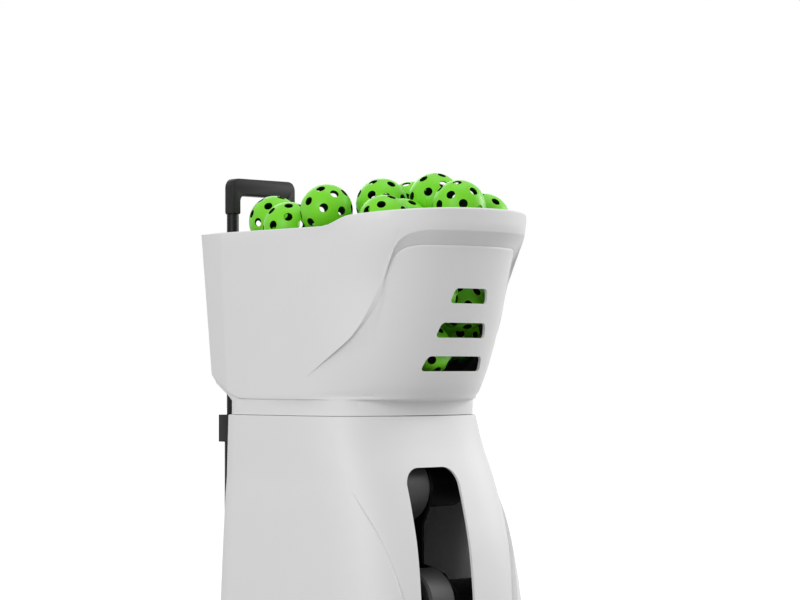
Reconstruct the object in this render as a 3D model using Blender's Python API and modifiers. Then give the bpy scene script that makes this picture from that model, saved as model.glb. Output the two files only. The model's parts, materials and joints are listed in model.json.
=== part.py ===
"""Pickleball machine: a white two-part body with a ball hopper, a launcher and a trolley handle.

The machine faces -Y and +Z is up, in metres. The origin is at the middle of the base, on the floor.
Distances written as "forward" are measured from the plane of the handle tubes towards the front.
"""
import math

import bmesh
import bpy
from mathutils import Matrix, Vector

for old in list(bpy.data.objects):
    bpy.data.objects.remove(old, do_unlink=True)

GAP = 0.0003
WALL = 0.004

# Ball and launcher sizes
BALL_RADIUS = 0.037
BALL_CLEARANCE = 0.004
LANE_X = -0.031
WHEEL_RADIUS = 0.048
TYRE_THICKNESS = 0.014
WHEEL_WIDTH = 0.050
WHEEL_GAP = 0.069
LAUNCH_ANGLE = math.radians(17.2)
NIP_FORWARD = 0.3385
NIP_Z = 0.400
PIVOT_FORWARD = 0.285
PIVOT_Z = 0.385
PLATE_THICKNESS = 0.004
SHAFT_RADIUS = 0.005
MOTOR_RADIUS = 0.029
MOTOR_LENGTH = 0.072

# Outer reach of the machine, from the plane of the handle tubes
FRONT_REACH = 0.471
TRANSPORT_RADIUS = 0.050
TRANSPORT_WIDTH = 0.026
TRANSPORT_X = 0.118
AXLE_FORWARD = 0.018
AXLE_RADIUS = 0.006
AXLE_HEAD_RADIUS = 0.012
AXLE_BRACKET_HALF = 0.094
AXLE_LUG_HALF = 0.010
AXLE_LUG_WALL = 0.010
REAR_REACH = TRANSPORT_RADIUS - AXLE_FORWARD
HANDLE_Y = (FRONT_REACH - REAR_REACH) / 2

# Heights
BODY_BOTTOM = 0.050
SEAM_Z = 0.580
DECK_THICKNESS = 0.008
RIM_REAR_Z = 0.840
RIM_STEP_Z = 0.854
RIM_FRONT_Z = 0.864
UNDERSIDE_Z = 0.604
LEDGE_LOW_Z = 0.815
LEDGE_TOP_Z = 0.832
FLOOR_THICKNESS = 0.004
FLOOR_Z = UNDERSIDE_Z - 0.0015

# Plan of the body: half width, front and rear faces
BODY_REAR = 0.0767
BODY_REAR_RADIUS = 0.040
BODY_HALF_TOP = 0.150
BODY_HALF_BOTTOM = 0.168
BODY_ROUNDNESS = 3.2
ARC_SHARE = 0.8
BODY_FRONT_PROFILE = (
    (0.030, 0.4461), (0.190, 0.437), (0.318, 0.425), (0.393, 0.413),
    (0.455, 0.396), (0.497, 0.381), (0.538, 0.363), (0.580, 0.350))
BODY_LEVELS = (
    BODY_BOTTOM, 0.120, 0.190, 0.255, 0.318, 0.355, 0.393, 0.425, 0.455, 0.480, 0.497, 0.538, SEAM_Z)
PANEL_TOP_Z = 0.486
PANEL_RISE = 0.010
BODY_REACH = BODY_FRONT_PROFILE[0][1] + PANEL_RISE
BODY_CUT_DEPTH = 0.050
BODY_CUT_FORWARD = BODY_FRONT_PROFILE[-1][1] - BODY_CUT_DEPTH
PANEL_EDGE = ((0.050, 0.088), (0.318, 0.108), (0.393, 0.121), (0.458, 0.137), (0.486, 0.143))

FOOT_X = 0.105
FOOT_FORWARD = 0.375

# Ball slot in the front
SLOT_X = -0.032
SLOT_SLANT = 0.061
SLOT_HALF_WIDTH = 0.050
SLOT_TOP_Z = 0.509
SLOT_BOTTOM_Z = 0.172
SLOT_CORNER = 0.026

# Plan of the hopper
NECK_HALF = 0.147
NECK_REAR = 0.081
NECK_ROUNDNESS = 2.9
HOPPER_REAR_TOP = 0.0125
HOPPER_REAR_SLOPE = 0.115
REAR_CORNER_X = 0.130
CREASE_FORWARD_TOP = 0.075
CREASE_FORWARD_BOTTOM = 0.093
CREASE_X_TOP = 0.144
CREASE_X_BOTTOM = 0.148
SIDE_HALF_BOTTOM = 0.152
SIDE_HALF_TOP = 0.158
BAND_FRONT_PROFILE = (
    (0.600, 0.405), (0.625, 0.418), (0.649, 0.4285), (0.675, 0.4325), (0.730, 0.434), (0.760, 0.4375),
    (0.790, 0.448), (0.815, 0.457), (LEDGE_TOP_Z, 0.464), (RIM_REAR_Z, FRONT_REACH))
BAND_ARC = 0.155
BAND_ROUNDNESS = 2.25
BOWL_FRONT_PROFILE = (
    (0.600, 0.380), (0.622, 0.3925), (0.650, 0.4055), (0.700, 0.422), (0.745, 0.434), (0.815, 0.450), (0.833, 0.468))
BOWL_ARC_PROFILE = (
    (0.600, 0.170), (0.650, 0.154), (0.700, 0.143), (0.745, 0.140), (0.815, 0.140), (0.833, BAND_ARC))
BOWL_ROUNDNESS_PROFILE = ((0.604, 2.25), (0.680, 2.10), (0.745, 2.04), (0.815, 2.15), (0.833, BAND_ROUNDNESS))
BOWL_SET_BACK = 0.002
VENTS = ((0.745, 0.034), (0.698, 0.046), (0.652, 0.056))
VENT_HEIGHT = 0.0205
VENT_LEAN = 0.003
VENT_CORNER = 0.006
S_CURVE = (
    (0.235, 0.600), (0.254, 0.6256), (0.290, 0.649), (0.3274, 0.6746), (0.3448, 0.6895), (0.3585, 0.7084),
    (0.370, 0.730), (0.382, 0.7595), (0.4005, 0.790), (0.4135, 0.815), (0.4287, 0.827), (0.4452, LEDGE_TOP_Z))
HOPPER_LEVELS = (0.660, 0.700, 0.745, 0.786, LEDGE_LOW_Z, LEDGE_TOP_Z)
BOWL_LEVELS = (0.590, 0.625, 0.660, 0.700, 0.745, 0.780, LEDGE_LOW_Z, LEDGE_TOP_Z + 0.001)
CAVITY_LEVELS = (0.660, 0.700, 0.745, 0.786)
UNDERSIDE_RISE_FORWARD = 0.110
UNDERSIDE_RISE_SLOPE = 0.38
RIM_STEP_FORWARD = 0.305
RIM_STEP_LENGTH = 0.050
RIM_STEP_END = RIM_STEP_FORWARD + RIM_STEP_LENGTH

# Feed rotor
ROTOR_FORWARD = 0.216
ROTOR_RADIUS = 0.118
ROTOR_HEIGHT = 0.040
ROTOR_CONE = 0.018
ROTOR_CONE_RADIUS = 0.026
ROTOR_CONE_TIP = 0.012
ROTOR_SHAFT_RADIUS = 0.006
SHAFT_HOLE_RADIUS = ROTOR_SHAFT_RADIUS + 0.0025
ROTOR_CLEARANCE = 0.004
POCKET_CLEARANCE = 0.003
POCKET_RADIUS = BALL_RADIUS + POCKET_CLEARANCE
POCKET_CIRCLE = 0.075
POCKETS = 5
OUTLET_FORWARD = ROTOR_FORWARD - math.sqrt(POCKET_CIRCLE ** 2 - LANE_X ** 2)
TUBE_BORE = BALL_RADIUS + BALL_CLEARANCE
TUBE_WALL = 0.003
FUNNEL_TOP_Z = 0.6405
FUNNEL_LOW_Z = 0.615
FUNNEL_THICKNESS = 0.0025
FUNNEL_SET_IN = 0.0016
FUNNEL_POINT_SPACING = 0.030

# Drop tube, from the outlet to its lower end
TUBE_END_FORWARD = 0.243
TUBE_END_Z = 0.402
TUBE_LEAN = math.radians(30)
TUBE_STRAIGHT_Z = 0.520
TUBE_BEND_Z = 0.510
TUBE_CORNER_Z = 0.470
TUBE_EXIT_LENGTH = 0.045

# Gear motor of the rotor
GEARBOX_LOW_X = -0.022
GEARBOX_HIGH_X = 0.036
GEARBOX_HALF_DEPTH = 0.020
GEARBOX_HEIGHT = 0.038
GEARBOX_FLANGE = 0.010
FEED_MOTOR_X = 0.010
FEED_MOTOR_RADIUS = 0.018
FEED_MOTOR_LENGTH = 0.054

# Launcher frame, as (forward, up) points
PLATE_OUTLINE = (
    (0.262, 0.300), (0.300, 0.288), (0.380, 0.290), (0.396, 0.312), (0.396, 0.335), (0.372, 0.360),
    (0.330, 0.372), (0.330, 0.425), (0.346, 0.460), (0.344, 0.500), (0.326, 0.514), (0.270, 0.516),
    (0.254, 0.505), (0.262, 0.440))
TIE_PLACES = ((0.280, 0.303), (0.2635, 0.4975))
TIE_RADIUS = 0.005
BALL_TRAY_FRONT = 0.308
BALL_TRAY_REAR = 0.264
BOSS_RADIUS = 0.014
POST_HALF_DEPTH = 0.015
PITCH_MOTOR_RADIUS = 0.018
PITCH_MOTOR_LENGTH = 0.040

# Rear cover, control panel and charging socket
COVER_HALF = 0.104
COVER_THICKNESS = 0.004
COVER_REAR = BODY_REAR - COVER_THICKNESS - GAP
PANEL_THICKNESS = 0.004
PANEL_HALF = 0.040
PANEL_REAR = COVER_REAR - PANEL_THICKNESS - GAP
ROCKER_Z = 0.366
ROCKER_HALF_X = 0.0100
ROCKER_HALF_Z = 0.0145
BUTTON_Z = ROCKER_Z + 0.050
BUTTON_RADIUS = 0.0050
BUTTON_SPACING = 0.020
KNOB_Z = BUTTON_Z + 0.052
KNOB_RADIUS = 0.013
KNOB_HEIGHT = 0.014
PANEL_LOW_Z = ROCKER_Z - 0.026
PANEL_HIGH_Z = KNOB_Z + 0.032
SOCKET_Z = 0.235
SOCKET_HALF_X = 0.016
SOCKET_HALF_Z = 0.012
SOCKET_BORE = 0.0075
REAR_OPENING_HALF = 0.098
REAR_OPENING_MARGIN = 0.030

# Battery and circuit board, from the middle and from the tray
BATTERY_LOW_X = -0.020
BATTERY_HIGH_X = 0.110
BATTERY_REAR = 0.115
BATTERY_FRONT = 0.250
BATTERY_HEIGHT = 0.090
STRAP_REAR = 0.170
STRAP_FRONT = 0.195
STRAP_THICKNESS = 0.0025
BOARD_HALF = 0.065
BOARD_LOW_Z = 0.300
BOARD_HIGH_Z = 0.420
BOARD_THICKNESS = 0.0016
BOARD_STANDOFF = 0.014
BOARD_MARGIN = 0.003

# Handle
HANDLE_TUBE_X = 0.0545
INNER_TUBE_RADIUS = 0.0089
OUTER_TUBE_RADIUS = 0.0122
OUTER_TUBE_BORE = INNER_TUBE_RADIUS + 0.0004
HANDLE_TOP_Z = 0.926
GRIP_BAR = 0.025
GRIP_LEG = 0.016
GRIP_DEPTH = 0.020
GRIP_LEG_LENGTH = GRIP_BAR + 0.028
GRIP_LEG_END_Z = HANDLE_TOP_Z - GRIP_LEG_LENGTH
GRIP_CORNER = 0.013
GRIP_INSIDE_CORNER = 0.008
INNER_TUBE_END_Z = 0.360
OUTER_TUBE_END_Z = 0.068
BRACKET_TOP_Z = 0.5774
BRACKET_HEIGHT = 0.040
LOWER_BRACKET_TOP_Z = 0.130
BRACKET_MARGIN = 0.0028
BRACKET_ARM_HALF = 0.030
BUTTON_HALF = 0.0118
BUTTON_SPARE = 0.0007

# How the balls lie: spacing in the layers, room at the walls, and the corner that is left free
BALL_SPACING = 2 * BALL_RADIUS + 0.002
BALL_FIRST_ROW = 0.086
BALL_WALL_ROOM = 0.004
BALL_FRONT_DROP = 0.020
BALL_REAR_LIMIT = 0.066
BALL_TOP_LIMIT = 0.830
BALL_FUNNEL_LIFT = 0.012
BALL_ROTOR_RIM = 0.030
FREE_CORNER_X = 0.035
FREE_CORNER_FORWARD = 0.170
BALL_JOIN_RADIUS = 0.006

# The balls that show through the vents: across, forward and up to each centre
VENT_BALLS = (
    (-0.0180, 0.3635, 0.6712), (-0.0280, 0.3843, 0.7458), (0.0460, 0.3726, 0.7345), (0.0942, 0.3120, 0.6906))

# The balls that stand above the rim: across, forward and up to each centre
TOP_BALLS = (
    (-0.0612, 0.0989, 0.8583), (-0.0970, 0.1690, 0.8448), (-0.0905, 0.2396, 0.8668), (-0.0146, 0.2734, 0.8770),
    (-0.1040, 0.3688, 0.8450), (-0.0372, 0.3378, 0.8447), (0.0606, 0.2566, 0.8774), (0.0272, 0.3372, 0.8835),
    (-0.0134, 0.4226, 0.8670), (0.0583, 0.4023, 0.8528))

PARTS = bpy.data.collections.new("pickleball_machine")
CUTTERS = bpy.data.collections.new("cutters")
bpy.context.scene.collection.children.link(PARTS)
bpy.context.scene.collection.children.link(CUTTERS)


def material(name, colour, roughness, metallic=0.0):
    """A plain Principled BSDF material."""
    mat = bpy.data.materials.new(name)
    mat.use_nodes = True
    shader = mat.node_tree.nodes["Principled BSDF"]
    shader.inputs["Base Color"].default_value = (*colour, 1.0)
    shader.inputs["Roughness"].default_value = roughness
    shader.inputs["Metallic"].default_value = metallic
    mat.diffuse_color = (*colour, 1.0)
    return mat


WHITE = material("white_abs", (0.80, 0.80, 0.81), 0.38)
BLACK = material("black_nylon", (0.025, 0.025, 0.027), 0.45)
GREY = material("grey_abs", (0.18, 0.18, 0.19), 0.5)
STEEL = material("zinc_steel", (0.55, 0.56, 0.57), 0.35, 1.0)
DARK_STEEL = material("black_steel", (0.06, 0.06, 0.065), 0.4, 0.8)
ALUMINIUM = material("black_aluminium", (0.03, 0.03, 0.032), 0.35, 0.6)
RUBBER = material("rubber", (0.03, 0.03, 0.03), 0.8)
FOAM = material("grey_urethane", (0.05, 0.05, 0.05), 0.6)
GREEN = material("green_plastic", (0.19, 0.74, 0.05), 0.35)
BOARD = material("circuit_board", (0.02, 0.16, 0.06), 0.5)


def fwd(distance):
    """The y coordinate of a place so far forward of the handle tubes."""
    return HANDLE_Y - distance


def add(name, mesh, mat, collection=PARTS):
    """An object of a mesh in a collection."""
    obj = bpy.data.objects.new(name, mesh)
    collection.objects.link(obj)
    if mat is not None:
        mesh.materials.clear()
        mesh.materials.append(mat)
    if collection is CUTTERS:
        obj.hide_render = True
        obj.display_type = "WIRE"
    return obj


def finish_mesh(name, bm, mat, collection=PARTS, smooth=False):
    """Closes a bmesh into an object with its faces pointing out."""
    bmesh.ops.recalc_face_normals(bm, faces=bm.faces)
    mesh = bpy.data.meshes.new(name)
    bm.to_mesh(mesh)
    bm.free()
    if smooth:
        mesh.shade_smooth()
        mesh.set_sharp_from_angle(angle=math.radians(35))
    return add(name, mesh, mat, collection)


def box_into(bm, low, high):
    """Adds a box between two corners."""
    low, high = Vector(low), Vector(high)
    size = high - low
    matrix = Matrix.Translation((low + high) / 2) @ Matrix.Diagonal((size.x, size.y, size.z, 1))
    return bmesh.ops.create_cube(bm, size=1.0, matrix=matrix)["verts"]


def box(name, low, high, mat, collection=PARTS, bevel=0.0):
    """A box between two corners, with bevelled edges if asked."""
    bm = bmesh.new()
    box_into(bm, low, high)
    obj = finish_mesh(name, bm, mat, collection)
    if bevel:
        edge = obj.modifiers.new("bevel", "BEVEL")
        edge.width = bevel
        edge.segments = 2
        edge.limit_method = "ANGLE"
    return obj


def rod_into(bm, start, end, radius, segments=24, end_radius=None):
    """Adds a round rod or cone from one point to another."""
    start, end = Vector(start), Vector(end)
    along = end - start
    turn = Vector((0, 0, 1)).rotation_difference(along.normalized()).to_matrix().to_4x4()
    matrix = Matrix.Translation((start + end) / 2) @ turn
    bmesh.ops.create_cone(
        bm, cap_ends=True, segments=segments, radius1=radius,
        radius2=radius if end_radius is None else end_radius, depth=along.length, matrix=matrix)


def ring_into(bm, start, end, outside, inside, segments=24):
    """Adds a round tube from one point to another."""
    start, end = Vector(start), Vector(end)
    turn = Vector((0, 0, 1)).rotation_difference((end - start).normalized())
    rows = []
    for centre, radius in ((start, outside), (end, outside), (end, inside), (start, inside)):
        row = []
        for i in range(segments):
            angle = 2 * math.pi * i / segments
            row.append(bm.verts.new(centre + turn @ Vector((radius * math.cos(angle), radius * math.sin(angle), 0))))
        rows.append(row)
    for k in range(4):
        low, high = rows[k], rows[(k + 1) % 4]
        for i in range(segments):
            j = (i + 1) % segments
            bm.faces.new((low[i], low[j], high[j], high[i]))


def ring(name, start, end, outside, inside, mat, segments=24):
    """A round tube as an object."""
    bm = bmesh.new()
    ring_into(bm, start, end, outside, inside, segments)
    return finish_mesh(name, bm, mat, smooth=True)


def rod(name, start, end, radius, mat, collection=PARTS, segments=24, end_radius=None):
    """A round rod as an object."""
    bm = bmesh.new()
    rod_into(bm, start, end, radius, segments, end_radius)
    return finish_mesh(name, bm, mat, collection, smooth=True)


def prism_into(bm, outline, axis, low, high):
    """Adds an outline extruded along an axis: x takes (y, z) points, y takes (x, z), z takes (x, y)."""
    def place(a, b, t):
        return {"x": (t, a, b), "y": (a, t, b), "z": (a, b, t)}[axis]
    bottom = [bm.verts.new(place(a, b, low)) for a, b in outline]
    top = [bm.verts.new(place(a, b, high)) for a, b in outline]
    count = len(outline)
    for i in range(count):
        j = (i + 1) % count
        bm.faces.new((bottom[i], bottom[j], top[j], top[i]))
    bm.faces.new(bottom)
    bm.faces.new(top)


def prism(name, outline, axis, low, high, mat, collection=PARTS):
    """An extruded outline as an object."""
    bm = bmesh.new()
    prism_into(bm, outline, axis, low, high)
    return finish_mesh(name, bm, mat, collection)


def turned(name, profile, axis_start, direction, mat, segments=24, collection=PARTS):
    """A profile of (radius, height) turned round an axis, closed on the axis or as a ring."""
    mesh = bpy.data.meshes.new(name)
    count = len(profile)
    on_axis = profile[0][0] == 0 and profile[-1][0] == 0
    edges = [(i, i + 1) for i in range(count - 1)]
    if not on_axis:
        edges.append((count - 1, 0))
    mesh.from_pydata([(r, 0, h) for r, h in profile], edges, [])
    obj = add(name, mesh, mat, collection)
    screw = obj.modifiers.new("screw", "SCREW")
    screw.axis = "Z"
    screw.steps = segments
    screw.render_steps = segments
    screw.use_merge_vertices = True
    screw.merge_threshold = 0.00001
    screw.use_smooth_shade = True
    obj.location = axis_start
    obj.rotation_mode = "QUATERNION"
    obj.rotation_quaternion = Vector((0, 0, 1)).rotation_difference(Vector(direction))
    return obj


def cut(obj, *cutters):
    """Cuts an object with others, exactly."""
    for cutter in cutters:
        modifier = obj.modifiers.new("cut_" + cutter.name, "BOOLEAN")
        modifier.operation = "DIFFERENCE"
        modifier.object = cutter
        modifier.solver = "EXACT"
    return obj


def join(obj, *others):
    """Unites an object with others, exactly."""
    for other in others:
        modifier = obj.modifiers.new("join_" + other.name, "BOOLEAN")
        modifier.operation = "UNION"
        modifier.object = other
        modifier.solver = "EXACT"
    return obj


def along(stations, z):
    """A value that runs smoothly through stations of (height, value)."""
    if z <= stations[0][0]:
        return stations[0][1]
    for (z0, v0), (z1, v1) in zip(stations, stations[1:]):
        if z <= z1:
            return v0 + (v1 - v0) * (z - z0) / (z1 - z0)
    return stations[-1][1]


def arc_points(start_forward, length, half_width, roundness, steps):
    """Points of the rounded front on the +X side, from the side to the middle."""
    points = []
    for i in range(steps + 1):
        angle = math.pi / 2 * i / steps
        across = half_width * math.cos(angle) ** (2 / roundness) if i < steps else 0.0
        ahead = start_forward + length * math.sin(angle) ** (2 / roundness)
        points.append((across, ahead))
    return points


def mirrored(half):
    """A whole outline from the half with x >= 0 that runs from the rear middle to the front middle."""
    other = [(-x, f) for x, f in reversed(half[1:-1])]
    return half + other


def densified(outline, step):
    """The outline with extra points on its long edges."""
    points = []
    for (x0, f0), (x1, f1) in zip(outline, outline[1:] + outline[:1]):
        pieces = max(1, math.ceil(math.hypot(x1 - x0, f1 - f0) / step))
        points += [(x0 + (x1 - x0) * i / pieces, f0 + (f1 - f0) * i / pieces) for i in range(pieces)]
    return points


def body_half_width(z):
    """Half width of the body's side at a height."""
    return BODY_HALF_TOP + (BODY_HALF_BOTTOM - BODY_HALF_TOP) * (SEAM_Z - z) / (SEAM_Z - BODY_BOTTOM)


def panel_rise(z):
    """How far the side panels stand out of the body at a height."""
    share = max(0.0, (PANEL_TOP_Z - z) / (PANEL_TOP_Z - BODY_BOTTOM))
    return PANEL_RISE * share ** 0.6


def body_outline(z, offset, steps=8):
    """Plan of the body at a height, moved outwards by an offset."""
    half = body_half_width(z) + offset
    front = along(BODY_FRONT_PROFILE, z) + offset
    rear = BODY_REAR - min(0.0, offset)
    length = ARC_SHARE * half
    radius = BODY_REAR_RADIUS
    outline = [(0.0, rear)]
    for i in range(4):
        angle = math.pi / 2 * i / 3
        outline.append((half - radius + radius * math.sin(angle), rear + radius - radius * math.cos(angle)))
    outline += arc_points(front - length, length, half, BODY_ROUNDNESS, steps)
    return mirrored(outline)


def neck_outline(offset, steps=8):
    """Plan of the hopper's neck."""
    half = NECK_HALF + offset
    front = BODY_FRONT_PROFILE[-1][1] + 0.001 + offset
    rear = NECK_REAR - offset
    length = ARC_SHARE * half
    radius = BODY_REAR_RADIUS
    outline = [(0.0, rear)]
    for i in range(4):
        angle = math.pi / 2 * i / 3
        outline.append((half - radius + radius * math.sin(angle), rear + radius - radius * math.cos(angle)))
    outline += arc_points(front - length, length, half, NECK_ROUNDNESS, steps)
    return mirrored(outline)


def hopper_outline(z, band, offset, steps=8):
    """Plan of the hopper at a height: of its raised band and sides, or of the recessed bowl."""
    share = (z - UNDERSIDE_Z) / (RIM_REAR_Z - UNDERSIDE_Z)
    rear = HOPPER_REAR_TOP + (RIM_REAR_Z - z) * HOPPER_REAR_SLOPE - offset
    crease_f = CREASE_FORWARD_BOTTOM + (CREASE_FORWARD_TOP - CREASE_FORWARD_BOTTOM) * share
    crease_x = CREASE_X_BOTTOM + (CREASE_X_TOP - CREASE_X_BOTTOM) * share + offset
    half = SIDE_HALF_BOTTOM + (SIDE_HALF_TOP - SIDE_HALF_BOTTOM) * share + offset
    if band:
        front = along(BAND_FRONT_PROFILE, z) + offset
        length, roundness = BAND_ARC, BAND_ROUNDNESS
    else:
        front = along(BOWL_FRONT_PROFILE, z) + offset
        length, roundness = along(BOWL_ARC_PROFILE, z), along(BOWL_ROUNDNESS_PROFILE, z)
        half -= BOWL_SET_BACK
    outline = [(0.0, rear)]
    outline.append((REAR_CORNER_X * 0.6, rear))
    outline.append((REAR_CORNER_X + offset, rear))
    outline.append(((REAR_CORNER_X + offset + crease_x) / 2, (rear + crease_f) / 2))
    outline.append((crease_x, crease_f))
    outline += arc_points(front - length, length, half, roundness, steps)
    return mirrored(outline)


def underside_z(forward):
    """Height of the hopper's underside, which rises towards the rear."""
    return UNDERSIDE_Z + max(0.0, UNDERSIDE_RISE_FORWARD - forward) * UNDERSIDE_RISE_SLOPE


def rim_z(forward):
    """Height of the hopper's rim: level at the rear, a soft step up, then a slow rise to the front."""
    step = min(1.0, max(0.0, (forward - RIM_STEP_FORWARD) / RIM_STEP_LENGTH))
    soft = step * step * (3 - 2 * step)
    ahead = max(0.0, forward - RIM_STEP_END) / (FRONT_REACH - RIM_STEP_END)
    return RIM_REAR_Z + (RIM_STEP_Z - RIM_REAR_Z) * soft + (RIM_FRONT_Z - RIM_STEP_Z) * ahead


def loft(name, rings, mat, collection=PARTS):
    """A closed solid through outlines; each ring is an outline and a height or a height function."""
    bm = bmesh.new()
    rows = []
    for outline, height in rings:
        row = []
        for x, f in outline:
            z = height(f) if callable(height) else height
            row.append(bm.verts.new((x, fwd(f), z)))
        rows.append(row)
    count = len(rows[0])
    for low, high in zip(rows, rows[1:]):
        for i in range(count):
            j = (i + 1) % count
            bm.faces.new((low[i], low[j], high[j], high[i]))
    for row in (rows[0], rows[-1]):
        middle = sum((v.co for v in row), Vector()) / count
        centre = bm.verts.new(middle)
        for i in range(count):
            bm.faces.new((row[i], row[(i + 1) % count], centre))
    return finish_mesh(name, bm, mat, collection, smooth=True)


def rounded_rectangle(cx, cz, half_x, half_z, radius, steps=4, lean=0.0):
    """An outline with round corners; lean draws the top in and lets the bottom out."""
    points = []
    for sx, sz, start in ((1, 1, 0), (-1, 1, 90), (-1, -1, 180), (1, -1, 270)):
        for i in range(steps + 1):
            angle = math.radians(start + 90 * i / steps)
            x = sx * (half_x - radius) + radius * math.cos(angle)
            z = sz * (half_z - radius) + radius * math.sin(angle)
            points.append((cx + x * (1 - lean * z / (half_z * half_x)), cz + z))
    return points


def make_hopper():
    """The white bucket: neck, bowl, raised band and sides, with vents through its front."""
    rings = [(neck_outline(0), SEAM_Z + GAP), (neck_outline(0), underside_z)]
    rings.append((hopper_outline(UNDERSIDE_Z, True, 0), underside_z))
    rings += [(hopper_outline(z, True, 0), z) for z in HOPPER_LEVELS]
    rings.append((hopper_outline(RIM_REAR_Z, True, 0), rim_z))
    hopper = loft("hopper_shell", rings, WHITE)

    past_front = FRONT_REACH + 0.089
    side = S_CURVE + ((past_front, LEDGE_TOP_Z), (past_front, S_CURVE[0][1]))
    wide = 1.6 * SIDE_HALF_TOP
    front_region = prism("bowl_region", [(fwd(f), z) for f, z in side], "x", -wide, wide, None, CUTTERS)
    core = loft("bowl_core", [(hopper_outline(z, False, 0), z) for z in BOWL_LEVELS], None, CUTTERS)
    cut(front_region, core)

    inside = [(neck_outline(-WALL), SEAM_Z - 0.01), (neck_outline(-WALL), lambda f: underside_z(f) + 0.003)]
    inside.append((hopper_outline(UNDERSIDE_Z, False, -WALL), lambda f: underside_z(f) + 0.006))
    inside += [(hopper_outline(z, False, -WALL), z) for z in (FUNNEL_TOP_Z,) + CAVITY_LEVELS]
    inside.append((hopper_outline(LEDGE_LOW_Z, False, -WALL), LEDGE_LOW_Z + WALL / 2))
    inside.append((hopper_outline(LEDGE_TOP_Z, True, -WALL), LEDGE_TOP_Z + WALL))
    inside.append((hopper_outline(RIM_REAR_Z, True, -WALL), RIM_FRONT_Z + 0.036))
    cavity = loft("hopper_cavity", inside, None, CUTTERS)
    cut(hopper, front_region, cavity)
    for number, (z, half) in enumerate(VENTS, 1):
        outline = rounded_rectangle(0, z, half, VENT_HEIGHT / 2, VENT_CORNER, 2, VENT_LEAN)
        cut(hopper, prism(f"vent_{number}", outline, "y", fwd(FRONT_REACH + 0.029), fwd(FRONT_REACH - 0.151), None,
                          CUTTERS))
    return hopper


def make_floor():
    """The flat floor under the rotor, with the ball outlet and the shaft hole, and the funnel round it."""
    bm = bmesh.new()
    outline = [(x, fwd(f)) for x, f in neck_outline(-WALL - GAP)]
    prism_into(bm, outline, "z", FLOOR_Z, FLOOR_Z + FLOOR_THICKNESS)
    floor = finish_mesh("hopper_floor", bm, BLACK)
    outlet = rod("floor_outlet", (LANE_X, fwd(OUTLET_FORWARD), FLOOR_Z - 0.02),
                 (LANE_X, fwd(OUTLET_FORWARD), FLOOR_Z + 0.03), TUBE_BORE, None, CUTTERS)
    shaft = rod("floor_shaft_hole", (0, fwd(ROTOR_FORWARD), FLOOR_Z - 0.02),
                (0, fwd(ROTOR_FORWARD), FLOOR_Z + 0.03), SHAFT_HOLE_RADIUS, None, CUTTERS)
    cut(floor, outlet, shaft)

    outer = densified(hopper_outline(FUNNEL_TOP_Z, False, -WALL - FUNNEL_SET_IN), FUNNEL_POINT_SPACING)
    count = len(outer)
    inner = []
    for x, f in outer:
        angle = math.atan2(x, f - ROTOR_FORWARD)
        radius = ROTOR_RADIUS + ROTOR_CLEARANCE
        inner.append((radius * math.sin(angle), ROTOR_FORWARD + radius * math.cos(angle)))
    bm = bmesh.new()
    top = [bm.verts.new((x, fwd(f), FUNNEL_TOP_Z)) for x, f in outer]
    low = [bm.verts.new((x, fwd(f), FUNNEL_LOW_Z)) for x, f in inner]
    for i in range(count):
        j = (i + 1) % count
        bm.faces.new((low[i], low[j], top[j], top[i]))
    funnel = finish_mesh("hopper_funnel", bm, BLACK)
    skin = funnel.modifiers.new("skin", "SOLIDIFY")
    skin.thickness = FUNNEL_THICKNESS
    skin.offset = 0
    return floor


ROTOR_BOTTOM_Z = FLOOR_Z + FLOOR_THICKNESS + 2 * GAP
CONE_TOP_Z = ROTOR_BOTTOM_Z + ROTOR_HEIGHT + ROTOR_CONE


def make_rotor():
    """The pocketed feed rotor on its shaft."""
    centre_y = fwd(ROTOR_FORWARD)
    bottom = ROTOR_BOTTOM_Z
    rotor = rod("feed_rotor", (0, centre_y, bottom), (0, centre_y, bottom + ROTOR_HEIGHT), ROTOR_RADIUS,
                BLACK, segments=40)
    first = math.atan2(OUTLET_FORWARD - ROTOR_FORWARD, LANE_X)
    for k in range(POCKETS):
        angle = first + 2 * math.pi * k / POCKETS
        x = POCKET_CIRCLE * math.cos(angle)
        y = fwd(ROTOR_FORWARD + POCKET_CIRCLE * math.sin(angle))
        pocket = rod(f"pocket_{k + 1}", (x, y, bottom - 0.01), (x, y, bottom + ROTOR_HEIGHT + 0.01),
                     POCKET_RADIUS, None, CUTTERS, segments=20)
        cut(rotor, pocket)
    rod("rotor_shaft", (0, centre_y, DECK_LOW_Z), (0, centre_y, bottom - GAP), ROTOR_SHAFT_RADIUS, STEEL)
    join(rotor, rod("rotor_cone", (0, centre_y, bottom + ROTOR_HEIGHT - 0.005), (0, centre_y, CONE_TOP_Z),
                    ROTOR_CONE_RADIUS, None, CUTTERS, 20, ROTOR_CONE_TIP))


DECK_TOP_Z = SEAM_Z
DECK_LOW_Z = DECK_TOP_Z - DECK_THICKNESS


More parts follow.
